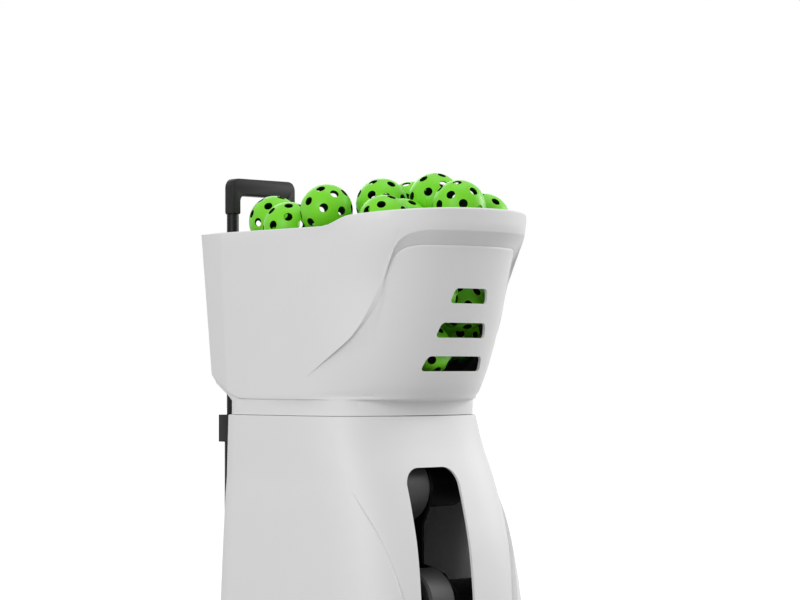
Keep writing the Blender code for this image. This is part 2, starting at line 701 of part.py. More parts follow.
def make_body():
    """The white body shell with its slot, the raised side panels and the open rear."""
    levels = BODY_LEVELS
    shell = loft("body_shell", [(body_outline(z, panel_rise(z)), z) for z in levels], WHITE)

    low, high = BODY_BOTTOM - 0.01, PANEL_TOP_Z - 0.004
    stations = [z for z in levels if BODY_BOTTOM < z < high]
    edge = [(along(PANEL_EDGE, z), z) for z in [low] + stations + [high]]
    outline = edge + [(-x, z) for x, z in reversed(edge)]
    region = prism("front_region", outline, "y", fwd(BODY_REACH + 0.044), fwd(BODY_CUT_FORWARD), None, CUTTERS)
    core = loft("body_core", [(body_outline(z, 0), z) for z in (low,) + levels[1:]], None, CUTTERS)
    cut(region, core)

    inside = [(body_outline(z, -WALL), z) for z in (BODY_BOTTOM - 0.01,) + levels[1:-1] + (SEAM_Z + 0.01,)]
    cavity = loft("body_cavity", inside, None, CUTTERS)
    rear = box("rear_opening", (-REAR_OPENING_HALF, fwd(BODY_REAR + 0.0233), BODY_BOTTOM + REAR_OPENING_MARGIN),
               (REAR_OPENING_HALF, fwd(BODY_REAR - 0.0567), SEAM_Z - REAR_OPENING_MARGIN), None, CUTTERS)
    slot_z = (SLOT_TOP_Z + SLOT_BOTTOM_Z) / 2
    slot_half = (SLOT_TOP_Z - SLOT_BOTTOM_Z) / 2
    upright = rounded_rectangle(SLOT_X, slot_z, SLOT_HALF_WIDTH, slot_half, SLOT_CORNER, 4)
    slot = prism("ball_slot", [(x + SLOT_SLANT * (z - slot_z), z) for x, z in upright],
                 "y", fwd(BODY_REACH + 0.014), fwd(BODY_CUT_FORWARD), None, CUTTERS)
    return cut(shell, region, cavity, rear, slot)


def make_deck_and_base():
    """The deck that closes the body's top, and the tray that closes its bottom."""
    outline = [(x, fwd(f)) for x, f in body_outline(SEAM_Z, -WALL - GAP)]
    deck = prism("top_deck", outline, "z", DECK_LOW_Z, DECK_TOP_Z, GREY)
    tube_hole = rod("deck_tube_hole", (LANE_X, fwd(OUTLET_FORWARD), DECK_LOW_Z - 0.02),
                    (LANE_X, fwd(OUTLET_FORWARD), DECK_TOP_Z + 0.02), TUBE_BORE + TUBE_WALL + 0.0006,
                    None, CUTTERS)
    shaft_hole = rod("deck_shaft_hole", (0, fwd(ROTOR_FORWARD), DECK_LOW_Z - 0.02),
                     (0, fwd(ROTOR_FORWARD), DECK_TOP_Z + 0.02), SHAFT_HOLE_RADIUS, None, CUTTERS)
    cut(deck, tube_hole, shaft_hole)

    tray_top = BODY_BOTTOM + 0.010
    low = body_outline(BODY_BOTTOM, -WALL - GAP)
    loft("base_tray", [(low, BODY_BOTTOM), (body_outline(tray_top, -WALL - GAP - 0.0003), tray_top)], GREY)
    for name, x in (("left", -FOOT_X), ("right", FOOT_X)):
        rod(f"front_foot_{name}", (x, fwd(FOOT_FORWARD), 0), (x, fwd(FOOT_FORWARD), BODY_BOTTOM - GAP), 0.020, RUBBER,
            segments=20, end_radius=0.026)


TRAY_TOP_Z = BODY_BOTTOM + 0.010


def make_drop_tube():
    """The bent tube that drops balls from the outlet and turns them towards the wheels."""
    start_z = FLOOR_Z - GAP
    points = [(OUTLET_FORWARD, start_z), (OUTLET_FORWARD, TUBE_STRAIGHT_Z)]
    p3 = Vector((TUBE_END_FORWARD, TUBE_END_Z))
    direction = Vector((math.cos(TUBE_LEAN), -math.sin(TUBE_LEAN)))
    p0, p1 = Vector((OUTLET_FORWARD, TUBE_BEND_Z)), Vector((OUTLET_FORWARD, TUBE_CORNER_Z))
    p2 = p3 - direction * TUBE_EXIT_LENGTH
    for i in range(1, 9):
        t = i / 8
        point = p0 * (1 - t) ** 3 + p1 * 3 * t * (1 - t) ** 2 + p2 * 3 * t * t * (1 - t) + p3 * t ** 3
        points.append(tuple(point))

    def tube(name, radius, extend):
        first = Vector(points[0]) + Vector((0, extend))
        last = Vector(points[-1]) + direction * extend
        path = [first] + [Vector(p) for p in points[1:-1]] + [last]
        curve = bpy.data.curves.new(name, "CURVE")
        curve.dimensions = "3D"
        curve.bevel_depth = radius
        curve.bevel_resolution = 4
        curve.use_fill_caps = True
        spline = curve.splines.new("POLY")
        spline.points.add(len(path) - 1)
        for target, p in zip(spline.points, path):
            target.co = (LANE_X, fwd(p.x), p.y, 1)
        holder = bpy.data.objects.new(name + "_curve", curve)
        bpy.context.scene.collection.objects.link(holder)
        evaluated = holder.evaluated_get(bpy.context.evaluated_depsgraph_get())
        mesh = bpy.data.meshes.new_from_object(evaluated)
        bpy.data.objects.remove(holder, do_unlink=True)
        bm = bmesh.new()
        bm.from_mesh(mesh)
        bmesh.ops.remove_doubles(bm, verts=bm.verts, dist=0.00001)
        return bm

    outer = finish_mesh("drop_tube", tube("tube_outer", TUBE_BORE + TUBE_WALL, 0), BLACK, smooth=True)
    bore = finish_mesh("tube_bore", tube("tube_inner", TUBE_BORE, 0.02), None, CUTTERS)
    cut(outer, bore)


def make_feed_motor():
    """The gear motor that turns the rotor, hung under the deck by its plate."""
    y = fwd(ROTOR_FORWARD)
    top = DECK_LOW_Z - GAP
    half = GEARBOX_HALF_DEPTH
    gearbox = box("feed_gearbox", (GEARBOX_LOW_X, y - half, top - GEARBOX_HEIGHT), (GEARBOX_HIGH_X, y + half, top),
                  ALUMINIUM)
    join(gearbox, box("gearbox_flange", (GEARBOX_LOW_X - GEARBOX_FLANGE, y - half + 0.0005, top - 0.004),
                      (GEARBOX_HIGH_X + GEARBOX_FLANGE, y + half - 0.0005, top - 0.0001), None, CUTTERS))
    rod("feed_motor", (FEED_MOTOR_X, y, top - GEARBOX_HEIGHT - FEED_MOTOR_LENGTH),
        (FEED_MOTOR_X, y, top - GEARBOX_HEIGHT - GAP), FEED_MOTOR_RADIUS, DARK_STEEL)


def launch_point(forward, up):
    """A place in the launcher's own directions: along the ball's path and square to it, from the nip."""
    c, s = math.cos(LAUNCH_ANGLE), math.sin(LAUNCH_ANGLE)
    return NIP_FORWARD + forward * c - up * s, NIP_Z + forward * s + up * c


CENTRE_DISTANCE = 2 * WHEEL_RADIUS + WHEEL_GAP
UPPER_AXLE = launch_point(0, CENTRE_DISTANCE / 2)
LOWER_AXLE = launch_point(0, -CENTRE_DISTANCE / 2)
PLATE_INNER = BALL_RADIUS + 0.0025
NEAR_PLATE_X = LANE_X - PLATE_INNER - PLATE_THICKNESS
FAR_PLATE_X = LANE_X + PLATE_INNER
BEARING_RADIUS = 0.011
SECTOR_RADIUS = 0.072
PINION_TEETH = 12
SECTOR_TEETH = 48
MODULE = 2 * SECTOR_RADIUS / SECTOR_TEETH
PINION_RADIUS = MODULE * PINION_TEETH / 2
PINION_ANGLE = math.radians(225)
SECTOR_THICKNESS = 0.008
SECTOR_X = NEAR_PLATE_X - 0.004 - SECTOR_THICKNESS
POST_WIDTH = 0.018
NEAR_POST_X = SECTOR_X - 0.005 - POST_WIDTH
FAR_POST_X = FAR_PLATE_X + PLATE_THICKNESS + 0.005
PIN_RADIUS = 0.006


def gear_outline(centre, teeth, turn, first, last):
    """Teeth of a gear between two tooth numbers, as (y, z) points round a centre."""
    pitch = MODULE * teeth / 2
    step = 2 * math.pi / teeth
    points = []
    for k in range(first, last):
        middle = turn + k * step
        for share, radius in ((-0.40, pitch - 1.15 * MODULE), (-0.22, pitch - 0.2 * MODULE),
                              (-0.10, pitch + 0.75 * MODULE), (0.10, pitch + 0.75 * MODULE),
                              (0.22, pitch - 0.2 * MODULE), (0.40, pitch - 1.15 * MODULE)):
            angle = middle + share * step
            points.append((fwd(centre[0] + radius * math.cos(angle)), centre[1] + radius * math.sin(angle)))
    return points


def make_head():
    """The launcher frame: two side plates, ties, the ball tray, the pivot pins and the toothed sector."""
    outline = [(fwd(f), z) for f, z in PLATE_OUTLINE]
    frame = prism("launcher_frame", outline, "x", NEAR_PLATE_X, NEAR_PLATE_X + PLATE_THICKNESS, DARK_STEEL)
    far = prism("far_plate", outline, "x", FAR_PLATE_X, FAR_PLATE_X + PLATE_THICKNESS, None, CUTTERS)
    pieces = [far]
    bite = 0.002
    for number, (f, z) in enumerate(TIE_PLACES, 1):
        pieces.append(rod(f"tie_{number}", (NEAR_PLATE_X + bite, fwd(f), z),
                          (FAR_PLATE_X + PLATE_THICKNESS - bite, fwd(f), z), TIE_RADIUS, None, CUTTERS, 12))
    tray_z = PIVOT_Z - BALL_RADIUS + 0.002
    pieces.append(box("ball_tray", (NEAR_PLATE_X + bite, fwd(BALL_TRAY_FRONT), tray_z - 0.003),
                      (FAR_PLATE_X + PLATE_THICKNESS - bite, fwd(BALL_TRAY_REAR), tray_z), None, CUTTERS))
    y = fwd(PIVOT_FORWARD)
    sector_low = SECTOR_X
    pieces.append(rod("near_boss", (sector_low + bite, y, PIVOT_Z), (NEAR_PLATE_X + bite, y, PIVOT_Z), BOSS_RADIUS,
                      None, CUTTERS, 20))
    pieces.append(rod("near_pin", (NEAR_POST_X, y, PIVOT_Z), (NEAR_PLATE_X + bite, y, PIVOT_Z), PIN_RADIUS,
                      None, CUTTERS, 20))
    pieces.append(rod("far_pin", (FAR_PLATE_X + bite, y, PIVOT_Z), (FAR_POST_X + POST_WIDTH, y, PIVOT_Z),
                      PIN_RADIUS, None, CUTTERS, 20))
    teeth = gear_outline((PIVOT_FORWARD, PIVOT_Z), SECTOR_TEETH, PINION_ANGLE, -4, 5)
    web = [(fwd(PIVOT_FORWARD + 0.012), PIVOT_Z - 0.004), (fwd(PIVOT_FORWARD - 0.004), PIVOT_Z + 0.012)]
    pieces.append(prism("sector", teeth + web, "x", SECTOR_X, SECTOR_X + SECTOR_THICKNESS, None, CUTTERS))
    join(frame, *pieces)
    for name, (f, z) in (("upper", UPPER_AXLE), ("lower", LOWER_AXLE)):
        hole = rod(f"{name}_axle_hole", (NEAR_PLATE_X - 0.003, fwd(f), z),
                   (FAR_PLATE_X + PLATE_THICKNESS + 0.003, fwd(f), z), BEARING_RADIUS, None, CUTTERS)
        cut(frame, hole)
    return frame


def make_wheel(name, axle):
    """One throwing wheel: hub, soft tyre, shaft, its two bearings and the motor that drives it."""
    y, z = fwd(axle[0]), axle[1]
    half = WHEEL_WIDTH / 2
    low, high = LANE_X - half, LANE_X + half
    hub_radius = WHEEL_RADIUS - TYRE_THICKNESS
    hub = [(hub_radius, 0.002), (hub_radius, WHEEL_WIDTH - 0.002), (hub_radius - 0.005, WHEEL_WIDTH - 0.002),
           (hub_radius - 0.006, 0.6 * WHEEL_WIDTH), (0.014, 0.6 * WHEEL_WIDTH), (0.012, WHEEL_WIDTH - 0.002),
           (SHAFT_RADIUS + GAP, WHEEL_WIDTH - 0.002), (SHAFT_RADIUS + GAP, 0.002), (0.012, 0.002),
           (0.014, 0.4 * WHEEL_WIDTH), (hub_radius - 0.006, 0.4 * WHEEL_WIDTH), (hub_radius - 0.005, 0.002)]
    turned(f"{name}_wheel_hub", hub[::-1], (low, y, z), (1, 0, 0), ALUMINIUM, 20)
    crown = [(WHEEL_RADIUS - 0.003, 0.0), (WHEEL_RADIUS, 0.004), (WHEEL_RADIUS, WHEEL_WIDTH - 0.004),
             (WHEEL_RADIUS - 0.003, WHEEL_WIDTH), (hub_radius + GAP, WHEEL_WIDTH), (hub_radius + GAP, 0.0)]
    turned(f"{name}_wheel_tyre", crown[::-1], (low, y, z), (1, 0, 0), FOAM, 32)
    rod(f"{name}_wheel_shaft", (NEAR_PLATE_X - 0.002, y, z),
        (FAR_PLATE_X + PLATE_THICKNESS + 0.0005, y, z), SHAFT_RADIUS, STEEL, segments=16)
    start = FAR_PLATE_X + PLATE_THICKNESS + 0.001
    can = [(0, MOTOR_LENGTH), (MOTOR_RADIUS - 0.004, MOTOR_LENGTH), (MOTOR_RADIUS, MOTOR_LENGTH - 0.004),
           (MOTOR_RADIUS, 0.003), (MOTOR_RADIUS - 0.003, 0), (0, 0)]
    turned(f"{name}_motor", can, (start, y, z), (1, 0, 0), DARK_STEEL, 28)
    return low, high


def make_bearings():
    """The four ball bearings in the side plates."""
    for name, (f, z) in (("upper", UPPER_AXLE), ("lower", LOWER_AXLE)):
        for side, x in (("near", NEAR_PLATE_X), ("far", FAR_PLATE_X)):
            ring(f"{name}_bearing_{side}", (x, fwd(f), z), (x + PLATE_THICKNESS, fwd(f), z), BEARING_RADIUS - GAP,
                 SHAFT_RADIUS + 2 * GAP, STEEL, 16)


def make_pitch_drive():
    """The posts that carry the launcher, and the pinion and motor that pitch it."""
    y = fwd(PIVOT_FORWARD)
    pin_hole = rod("pin_hole", (NEAR_POST_X - 0.01, y, PIVOT_Z), (FAR_POST_X + POST_WIDTH + 0.01, y, PIVOT_Z),
                   PIN_RADIUS + GAP, None, CUTTERS, 20)
    for side, x in (("near", NEAR_POST_X), ("far", FAR_POST_X)):
        post = box(f"launcher_post_{side}", (x, y - POST_HALF_DEPTH, TRAY_TOP_Z + GAP),
                   (x + POST_WIDTH, y + POST_HALF_DEPTH, PIVOT_Z + PIN_RADIUS + 0.010), GREY)
        cut(post, pin_hole)

    reach = SECTOR_RADIUS + PINION_RADIUS
    pf = PIVOT_FORWARD + reach * math.cos(PINION_ANGLE)
    pz = PIVOT_Z + reach * math.sin(PINION_ANGLE)
    mesh_turn = PINION_ANGLE + math.pi + math.pi / PINION_TEETH
    outline = gear_outline((pf, pz), PINION_TEETH, mesh_turn, 0, PINION_TEETH)
    pinion = prism("pitch_pinion", outline, "x", SECTOR_X + 0.0005, SECTOR_X + SECTOR_THICKNESS - 0.0005, STEEL)
    face = SECTOR_X - 0.004
    join(pinion, rod("pinion_shaft", (face + GAP, fwd(pf), pz), (SECTOR_X + 0.002, fwd(pf), pz), 0.004, None, CUTTERS,
                     segments=12))
    rod("pitch_motor", (face - PITCH_MOTOR_LENGTH, fwd(pf), pz), (face, fwd(pf), pz), PITCH_MOTOR_RADIUS, DARK_STEEL)
    half = PITCH_MOTOR_RADIUS - 0.002
    stand = box("pitch_motor_stand", (face - PITCH_MOTOR_LENGTH + 0.006, fwd(pf) - half, TRAY_TOP_Z + GAP),
                (face - 0.006, fwd(pf) + half, pz), GREY)
    cut(stand, rod("motor_seat", (face - PITCH_MOTOR_LENGTH - 0.01, fwd(pf), pz), (face + 0.01, fwd(pf), pz),
                   PITCH_MOTOR_RADIUS + GAP, None, CUTTERS))
    return pf, pz


def make_handle():
    """The telescopic trolley handle: grip, release button, inner and outer tubes, and two brackets."""
    y = HANDLE_Y
    outer = HANDLE_TUBE_X + GRIP_LEG / 2
    corner = GRIP_CORNER
    small = GRIP_INSIDE_CORNER
    inner = HANDLE_TUBE_X - GRIP_LEG / 2
    bar_low = HANDLE_TOP_Z - GRIP_BAR
    outline = [(outer, GRIP_LEG_END_Z)]
    for i in range(5):
        angle = math.pi / 2 * i / 4
        outline.append((outer - corner + corner * math.cos(angle), HANDLE_TOP_Z - corner + corner * math.sin(angle)))
    for i in range(5):
        angle = math.pi / 2 * (1 + i / 4)
        outline.append((-outer + corner + corner * math.cos(angle), HANDLE_TOP_Z - corner + corner * math.sin(angle)))
    outline += [(-outer, GRIP_LEG_END_Z), (-inner, GRIP_LEG_END_Z)]
    for i in range(4):
        angle = math.pi - math.pi / 2 * i / 3
        outline.append((-inner + small + small * math.cos(angle), bar_low - small + small * math.sin(angle)))
    for i in range(4):
        angle = math.pi / 2 * (1 - i / 3)
        outline.append((inner - small + small * math.cos(angle), bar_low - small + small * math.sin(angle)))
    outline.append((inner, GRIP_LEG_END_Z))
    grip = prism("handle_grip", outline, "y", y - GRIP_DEPTH / 2, y + GRIP_DEPTH / 2, BLACK)
    edge = grip.modifiers.new("bevel", "BEVEL")
    edge.width = 0.002
    edge.segments = 1
    edge.limit_method = "ANGLE"
    edge.angle_limit = math.radians(60)
    half_x, half_y = BUTTON_HALF, 0.29 * GRIP_DEPTH
    recess = box("button_recess", (-half_x - BUTTON_SPARE, y - half_y - BUTTON_SPARE, HANDLE_TOP_Z - 0.008),
                 (half_x + BUTTON_SPARE, y + half_y + BUTTON_SPARE, HANDLE_TOP_Z + 0.01), None, CUTTERS)
    cut(grip, recess)
    box("release_button", (-half_x, y - half_y, HANDLE_TOP_Z - 0.0045), (half_x, y + half_y, HANDLE_TOP_Z - 0.0002),
        BLACK, bevel=0.001)

    for side, x in (("left", -HANDLE_TUBE_X), ("right", HANDLE_TUBE_X)):
        rod(f"inner_tube_{side}", (x, y, INNER_TUBE_END_Z), (x, y, GRIP_LEG_END_Z - GAP), INNER_TUBE_RADIUS, ALUMINIUM)
        ring(f"outer_tube_{side}", (x, y, OUTER_TUBE_END_Z), (x, y, BRACKET_TOP_Z), OUTER_TUBE_RADIUS, OUTER_TUBE_BORE,
             ALUMINIUM)

    half_x = HANDLE_TUBE_X + OUTER_TUBE_RADIUS + BRACKET_MARGIN
    half_y = OUTER_TUBE_RADIUS + BRACKET_MARGIN - 0.0005
    cover_y = fwd(COVER_REAR) + GAP
    for name, top in (("upper_bracket", BRACKET_TOP_Z), ("lower_bracket", LOWER_BRACKET_TOP_Z)):
        low = top - BRACKET_HEIGHT
        bar = box(name, (-half_x, y - half_y, low), (half_x, y + half_y, top), BLACK)
        arm = box(name + "_arm", (-BRACKET_ARM_HALF, cover_y, low + 0.004),
                  (BRACKET_ARM_HALF, y - half_y + 0.004, top - 0.004), None, CUTTERS)
        join(bar, arm)
        for side in (-1, 1):
            x = side * HANDLE_TUBE_X
            cut(bar, rod(f"{name}_bore_{side}", (x, y, low - 0.01), (x, y, top + 0.01), OUTER_TUBE_RADIUS + GAP,
                         None, CUTTERS))


def make_rear_cover():
    """The rear cover with its control panel, charging socket and screws."""
    cover_y = fwd(COVER_REAR)
    front_y = fwd(BODY_REAR) + GAP
    cover = box("rear_cover", (-COVER_HALF, front_y, BODY_BOTTOM + 0.012),
                (COVER_HALF, cover_y, SEAM_Z - 0.004), WHITE, bevel=0.0015)
    panel = box("control_panel", (-PANEL_HALF, cover_y + GAP, PANEL_LOW_Z),
                (PANEL_HALF, fwd(PANEL_REAR), PANEL_HIGH_Z), BLACK)
    rocker_x, rocker_z = ROCKER_HALF_X + 0.0005, ROCKER_HALF_Z + 0.002
    hole = box("rocker_hole", (-rocker_x, cover_y - 0.0001, ROCKER_Z - rocker_z),
               (rocker_x, fwd(PANEL_REAR) + 0.01, ROCKER_Z + rocker_z), None, CUTTERS)
    cut(panel, hole)
    rocker = box("power_rocker", (-ROCKER_HALF_X, cover_y + 0.0022, ROCKER_Z - ROCKER_HALF_Z),
                 (ROCKER_HALF_X, fwd(PANEL_REAR) + 0.0022, ROCKER_Z + ROCKER_HALF_Z), BLACK, bevel=0.001)
    buttons = []
    for number in range(3):
        x = BUTTON_SPACING * (number - 1)
        z = BUTTON_Z
        cut(panel, rod(f"button_hole_{number + 1}", (x, cover_y - 0.0001, z), (x, fwd(PANEL_REAR) + 0.01, z),
                       BUTTON_RADIUS + 0.0006, None, CUTTERS, 16))
        rod(f"panel_button_{number + 1}", (x, cover_y + 0.0022, z), (x, fwd(PANEL_REAR) + 0.0020, z), BUTTON_RADIUS,
            GREY, segments=16)
        buttons.append((x, z))
    rod("speed_knob", (0, fwd(PANEL_REAR) + GAP, KNOB_Z), (0, fwd(PANEL_REAR) + KNOB_HEIGHT, KNOB_Z),
        KNOB_RADIUS, GREY, segments=24, end_radius=KNOB_RADIUS - 0.0015)

    socket_z = SOCKET_Z
    socket = box("charge_socket", (-SOCKET_HALF_X, cover_y + GAP, socket_z - SOCKET_HALF_Z),
                 (SOCKET_HALF_X, cover_y + 0.006, socket_z + SOCKET_HALF_Z), BLACK)
    cut(socket, rod("socket_bore", (0, cover_y + 0.0012, socket_z), (0, cover_y + 0.02, socket_z), SOCKET_BORE, None,
                    CUTTERS, 20))
    flap_x = SOCKET_HALF_X + 0.002
    box("socket_flap", (-flap_x, cover_y + 0.0063, socket_z - SOCKET_HALF_Z - 0.002),
        (flap_x, cover_y + 0.0085, socket_z + SOCKET_HALF_Z + 0.004), RUBBER, bevel=0.0006)
    leaf_x = flap_x + 0.0065
    join(socket, box("flap_leaf", (-leaf_x, cover_y + GAP + 0.0001, socket_z + SOCKET_HALF_Z / 2),
                     (leaf_x, cover_y + 0.003, socket_z + SOCKET_HALF_Z + 0.0065), None, CUTTERS))
    for side in (-1, 1):
        x = side * (flap_x + 0.0034)
        join(socket, box(f"flap_ear_{side}", (x - 0.0030, cover_y + 0.002, socket_z + 0.0061),
                         (x + 0.0030, cover_y + 0.0088, socket_z + 0.0184), None, CUTTERS))
    return cover, rocker


def make_base_gear():
    """Battery with its strap, circuit board, axle, blocks and transport wheels."""
    z0 = TRAY_TOP_Z + GAP
    low_x, high_x, top = BATTERY_LOW_X, BATTERY_HIGH_X, z0 + BATTERY_HEIGHT
    box("battery", (low_x, fwd(BATTERY_FRONT), z0), (high_x, fwd(BATTERY_REAR), top), BLACK, bevel=0.004)
    side_x = STRAP_THICKNESS + 0.001
    strap = box("battery_strap", (low_x - side_x, fwd(STRAP_FRONT), z0),
                (high_x + side_x, fwd(STRAP_REAR), top + STRAP_THICKNESS), GREY)
    cut(strap, box("strap_inside", (low_x - 0.0005, fwd(STRAP_FRONT + 0.005), z0 - 0.01),
                   (high_x + 0.0005, fwd(STRAP_REAR - 0.005), top + GAP), None, CUTTERS))

    inner_y = fwd(BODY_REAR + BOARD_STANDOFF)
    box("control_board", (-BOARD_HALF, inner_y - BOARD_THICKNESS, BOARD_LOW_Z), (BOARD_HALF, inner_y, BOARD_HIGH_Z),
        BOARD)
    rim = BOARD_HALF + BOARD_MARGIN
    holder = box("board_frame", (-rim, inner_y + GAP, BOARD_LOW_Z - BOARD_MARGIN),
                 (rim, fwd(BODY_REAR), BOARD_HIGH_Z + BOARD_MARGIN), BLACK)
    inset = 4 * BOARD_MARGIN
    window = BOARD_HALF - inset - BOARD_MARGIN
    cut(holder, box("board_frame_window", (-window, inner_y - 0.01, BOARD_LOW_Z + inset),
                    (window, fwd(BODY_REAR) + 0.01, BOARD_HIGH_Z - inset), None, CUTTERS))

    y = fwd(AXLE_FORWARD)
    end = TRANSPORT_X + TRANSPORT_WIDTH / 2 + 0.004
    axle = rod("axle", (-end, y, TRANSPORT_RADIUS), (end, y, TRANSPORT_RADIUS), AXLE_RADIUS, STEEL)
    for side in (-1, 1):
        inside_x = side * (TRANSPORT_X + TRANSPORT_WIDTH / 2 + GAP)
        join(axle, rod(f"axle_head_{side}", (inside_x, y, TRANSPORT_RADIUS), (inside_x + side * 0.003, y, TRANSPORT_RADIUS),
                       AXLE_HEAD_RADIUS, None, CUTTERS))
    reach = AXLE_RADIUS + AXLE_LUG_WALL
    low = TRANSPORT_RADIUS - reach
    blocks = box("axle_bracket", (-AXLE_BRACKET_HALF, fwd(BODY_REAR + 0.020), low),
                 (AXLE_BRACKET_HALF, cover_low_y() + 0.003, BODY_BOTTOM - GAP), GREY)
    for side in (-1, 1):
        x = side * (AXLE_BRACKET_HALF - AXLE_LUG_HALF)
        join(blocks, box(f"axle_lug_{side}", (x - AXLE_LUG_HALF, cover_low_y(), low + 0.0005),
                         (x + AXLE_LUG_HALF, y + reach - 0.003, TRANSPORT_RADIUS + reach), None, CUTTERS))
    cut(blocks, rod("block_bore", (-end, y, TRANSPORT_RADIUS), (end, y, TRANSPORT_RADIUS), AXLE_RADIUS + GAP, None,
                    CUTTERS))
    for name, side in (("left", -1), ("right", 1)):
        start = (side * TRANSPORT_X - TRANSPORT_WIDTH / 2, y, TRANSPORT_RADIUS)
        width = TRANSPORT_WIDTH
        rim = TRANSPORT_RADIUS - 0.012
        hub = [(rim, 0.002), (rim, width - 0.002), (rim - 0.005, width - 0.002), (rim - 0.006, 0.7 * width),
               (0.013, 0.7 * width), (0.012, width), (AXLE_RADIUS + GAP, width), (AXLE_RADIUS + GAP, 0), (0.012, 0),
               (0.013, 0.3 * width), (rim - 0.006, 0.3 * width), (rim - 0.005, 0.002)]
        turned(f"transport_hub_{name}", hub[::-1], start, (1, 0, 0), GREY, 18)
        tyre = [(TRANSPORT_RADIUS - 0.004, 0.0), (TRANSPORT_RADIUS - 0.001, 0.003), (TRANSPORT_RADIUS, 0.008),
                (TRANSPORT_RADIUS, width - 0.008), (TRANSPORT_RADIUS - 0.001, width - 0.003),
                (TRANSPORT_RADIUS - 0.004, width), (rim + GAP, width), (rim + GAP, 0.0)]
        turned(f"transport_tyre_{name}", tyre[::-1], start, (1, 0, 0), RUBBER, 28)


def cover_low_y():
    """The y of the body's rear bottom edge, where the axle blocks are bolted on."""
    return fwd(BODY_REAR - COVER_THICKNESS - 2 * GAP)


def make_balls():
    """The load of balls, each dropped straight down at a chosen place until it rests."""
    pocket_ball_top = FLOOR_Z + FLOOR_THICKNESS + GAP + 2 * BALL_RADIUS
    placed = [(0.0, ROTOR_FORWARD, CONE_TOP_Z + GAP + BALL_RADIUS)] + list(VENT_BALLS)

    def rest_height(x, f):
        reach = math.hypot(x, f - ROTOR_FORWARD)
        if reach < ROTOR_RADIUS + BALL_ROTOR_RIM:
            z = pocket_ball_top + BALL_RADIUS + 0.001
        else:
            z = FUNNEL_LOW_Z + (reach - ROTOR_RADIUS) + BALL_RADIUS + BALL_FUNNEL_LIFT
        for bx, bf, bz in placed:
            flat = (x - bx) ** 2 + (f - bf) ** 2
            room = (2 * BALL_RADIUS + GAP) ** 2
            if flat < room:
                z = max(z, bz + math.sqrt(room - flat))
        return z

    def inside(x, f, z):
        half = SIDE_HALF_BOTTOM - WALL - BALL_RADIUS - BALL_WALL_ROOM
        front = along(BOWL_FRONT_PROFILE, z - BALL_FRONT_DROP) - WALL - BALL_RADIUS - BALL_WALL_ROOM
        length = along(BOWL_ARC_PROFILE, z) - BALL_RADIUS
        ahead = max(0.0, f - (front - length)) / length
        return f > BALL_REAR_LIMIT and abs(x) < half and ahead ** 2 + (x / (half + 0.002)) ** 2 < 1

    spacing = BALL_SPACING
    room = 2 * BALL_RADIUS + GAP
    for layer in range(3):
        for row in range(5):
            f = BALL_FIRST_ROW + 0.3 * spacing * (layer % 2) + row * spacing * 0.93
            for column in range(-2, 3):
                x = (column - 0.25 + 0.5 * ((row + layer) % 2)) * spacing
                z = rest_height(x, f)
                free_corner = x > FREE_CORNER_X and f < FREE_CORNER_FORWARD
                under = all(math.dist((x, f, z), top) > room for top in TOP_BALLS)
                if inside(x, f, z) and z < BALL_TOP_LIMIT and under and not free_corner:
                    placed.append((x, f, z))
    placed += TOP_BALLS
    first, rest = placed[0], placed[1:]
    pile = ball("ball_pile", first, GREEN, PARTS)
    for number, spot in enumerate(rest, 2):
        join(pile, ball(f"ball_{number}", spot, None, CUTTERS))
    for number, one in enumerate(placed[1:], 2):
        nearest = min(placed[:number - 1], key=lambda two: math.dist(one, two))
        ends = [(x, fwd(f), z) for x, f, z in (one, nearest)]
        join(pile, rod(f"ball_touch_{number}", *ends, BALL_JOIN_RADIUS, None, CUTTERS, 6))


def ball(name, spot, mat, collection):
    """One ball at (x, forward, z)."""
    bm = bmesh.new()
    x, f, z = spot
    bmesh.ops.create_icosphere(bm, subdivisions=2, radius=BALL_RADIUS, matrix=Matrix.Translation((x, fwd(f), z)))
    return finish_mesh(name, bm, mat, collection, smooth=True)


make_hopper()
make_floor()
make_rotor()
make_body()
make_deck_and_base()
make_drop_tube()
make_feed_motor()
make_head()
make_wheel("upper", UPPER_AXLE)
make_wheel("lower", LOWER_AXLE)
make_bearings()
make_pitch_drive()
make_handle()
make_rear_cover()
make_base_gear()
make_balls()
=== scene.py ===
# %% [markdown]
# # A pickleball machine, dressed for a studio picture
#
# The machine is a white two-part moulding on wheels. A flared hopper full of bright green balls sits on
# a body with a tall slot, and a black trolley handle stands behind it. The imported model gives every
# piece its size, its place and the body it moves with. This script adds the fine surfaces and finishes.

# %% Load the frame
import json
import math

import bmesh
import bpy
from mathutils import Matrix, Vector

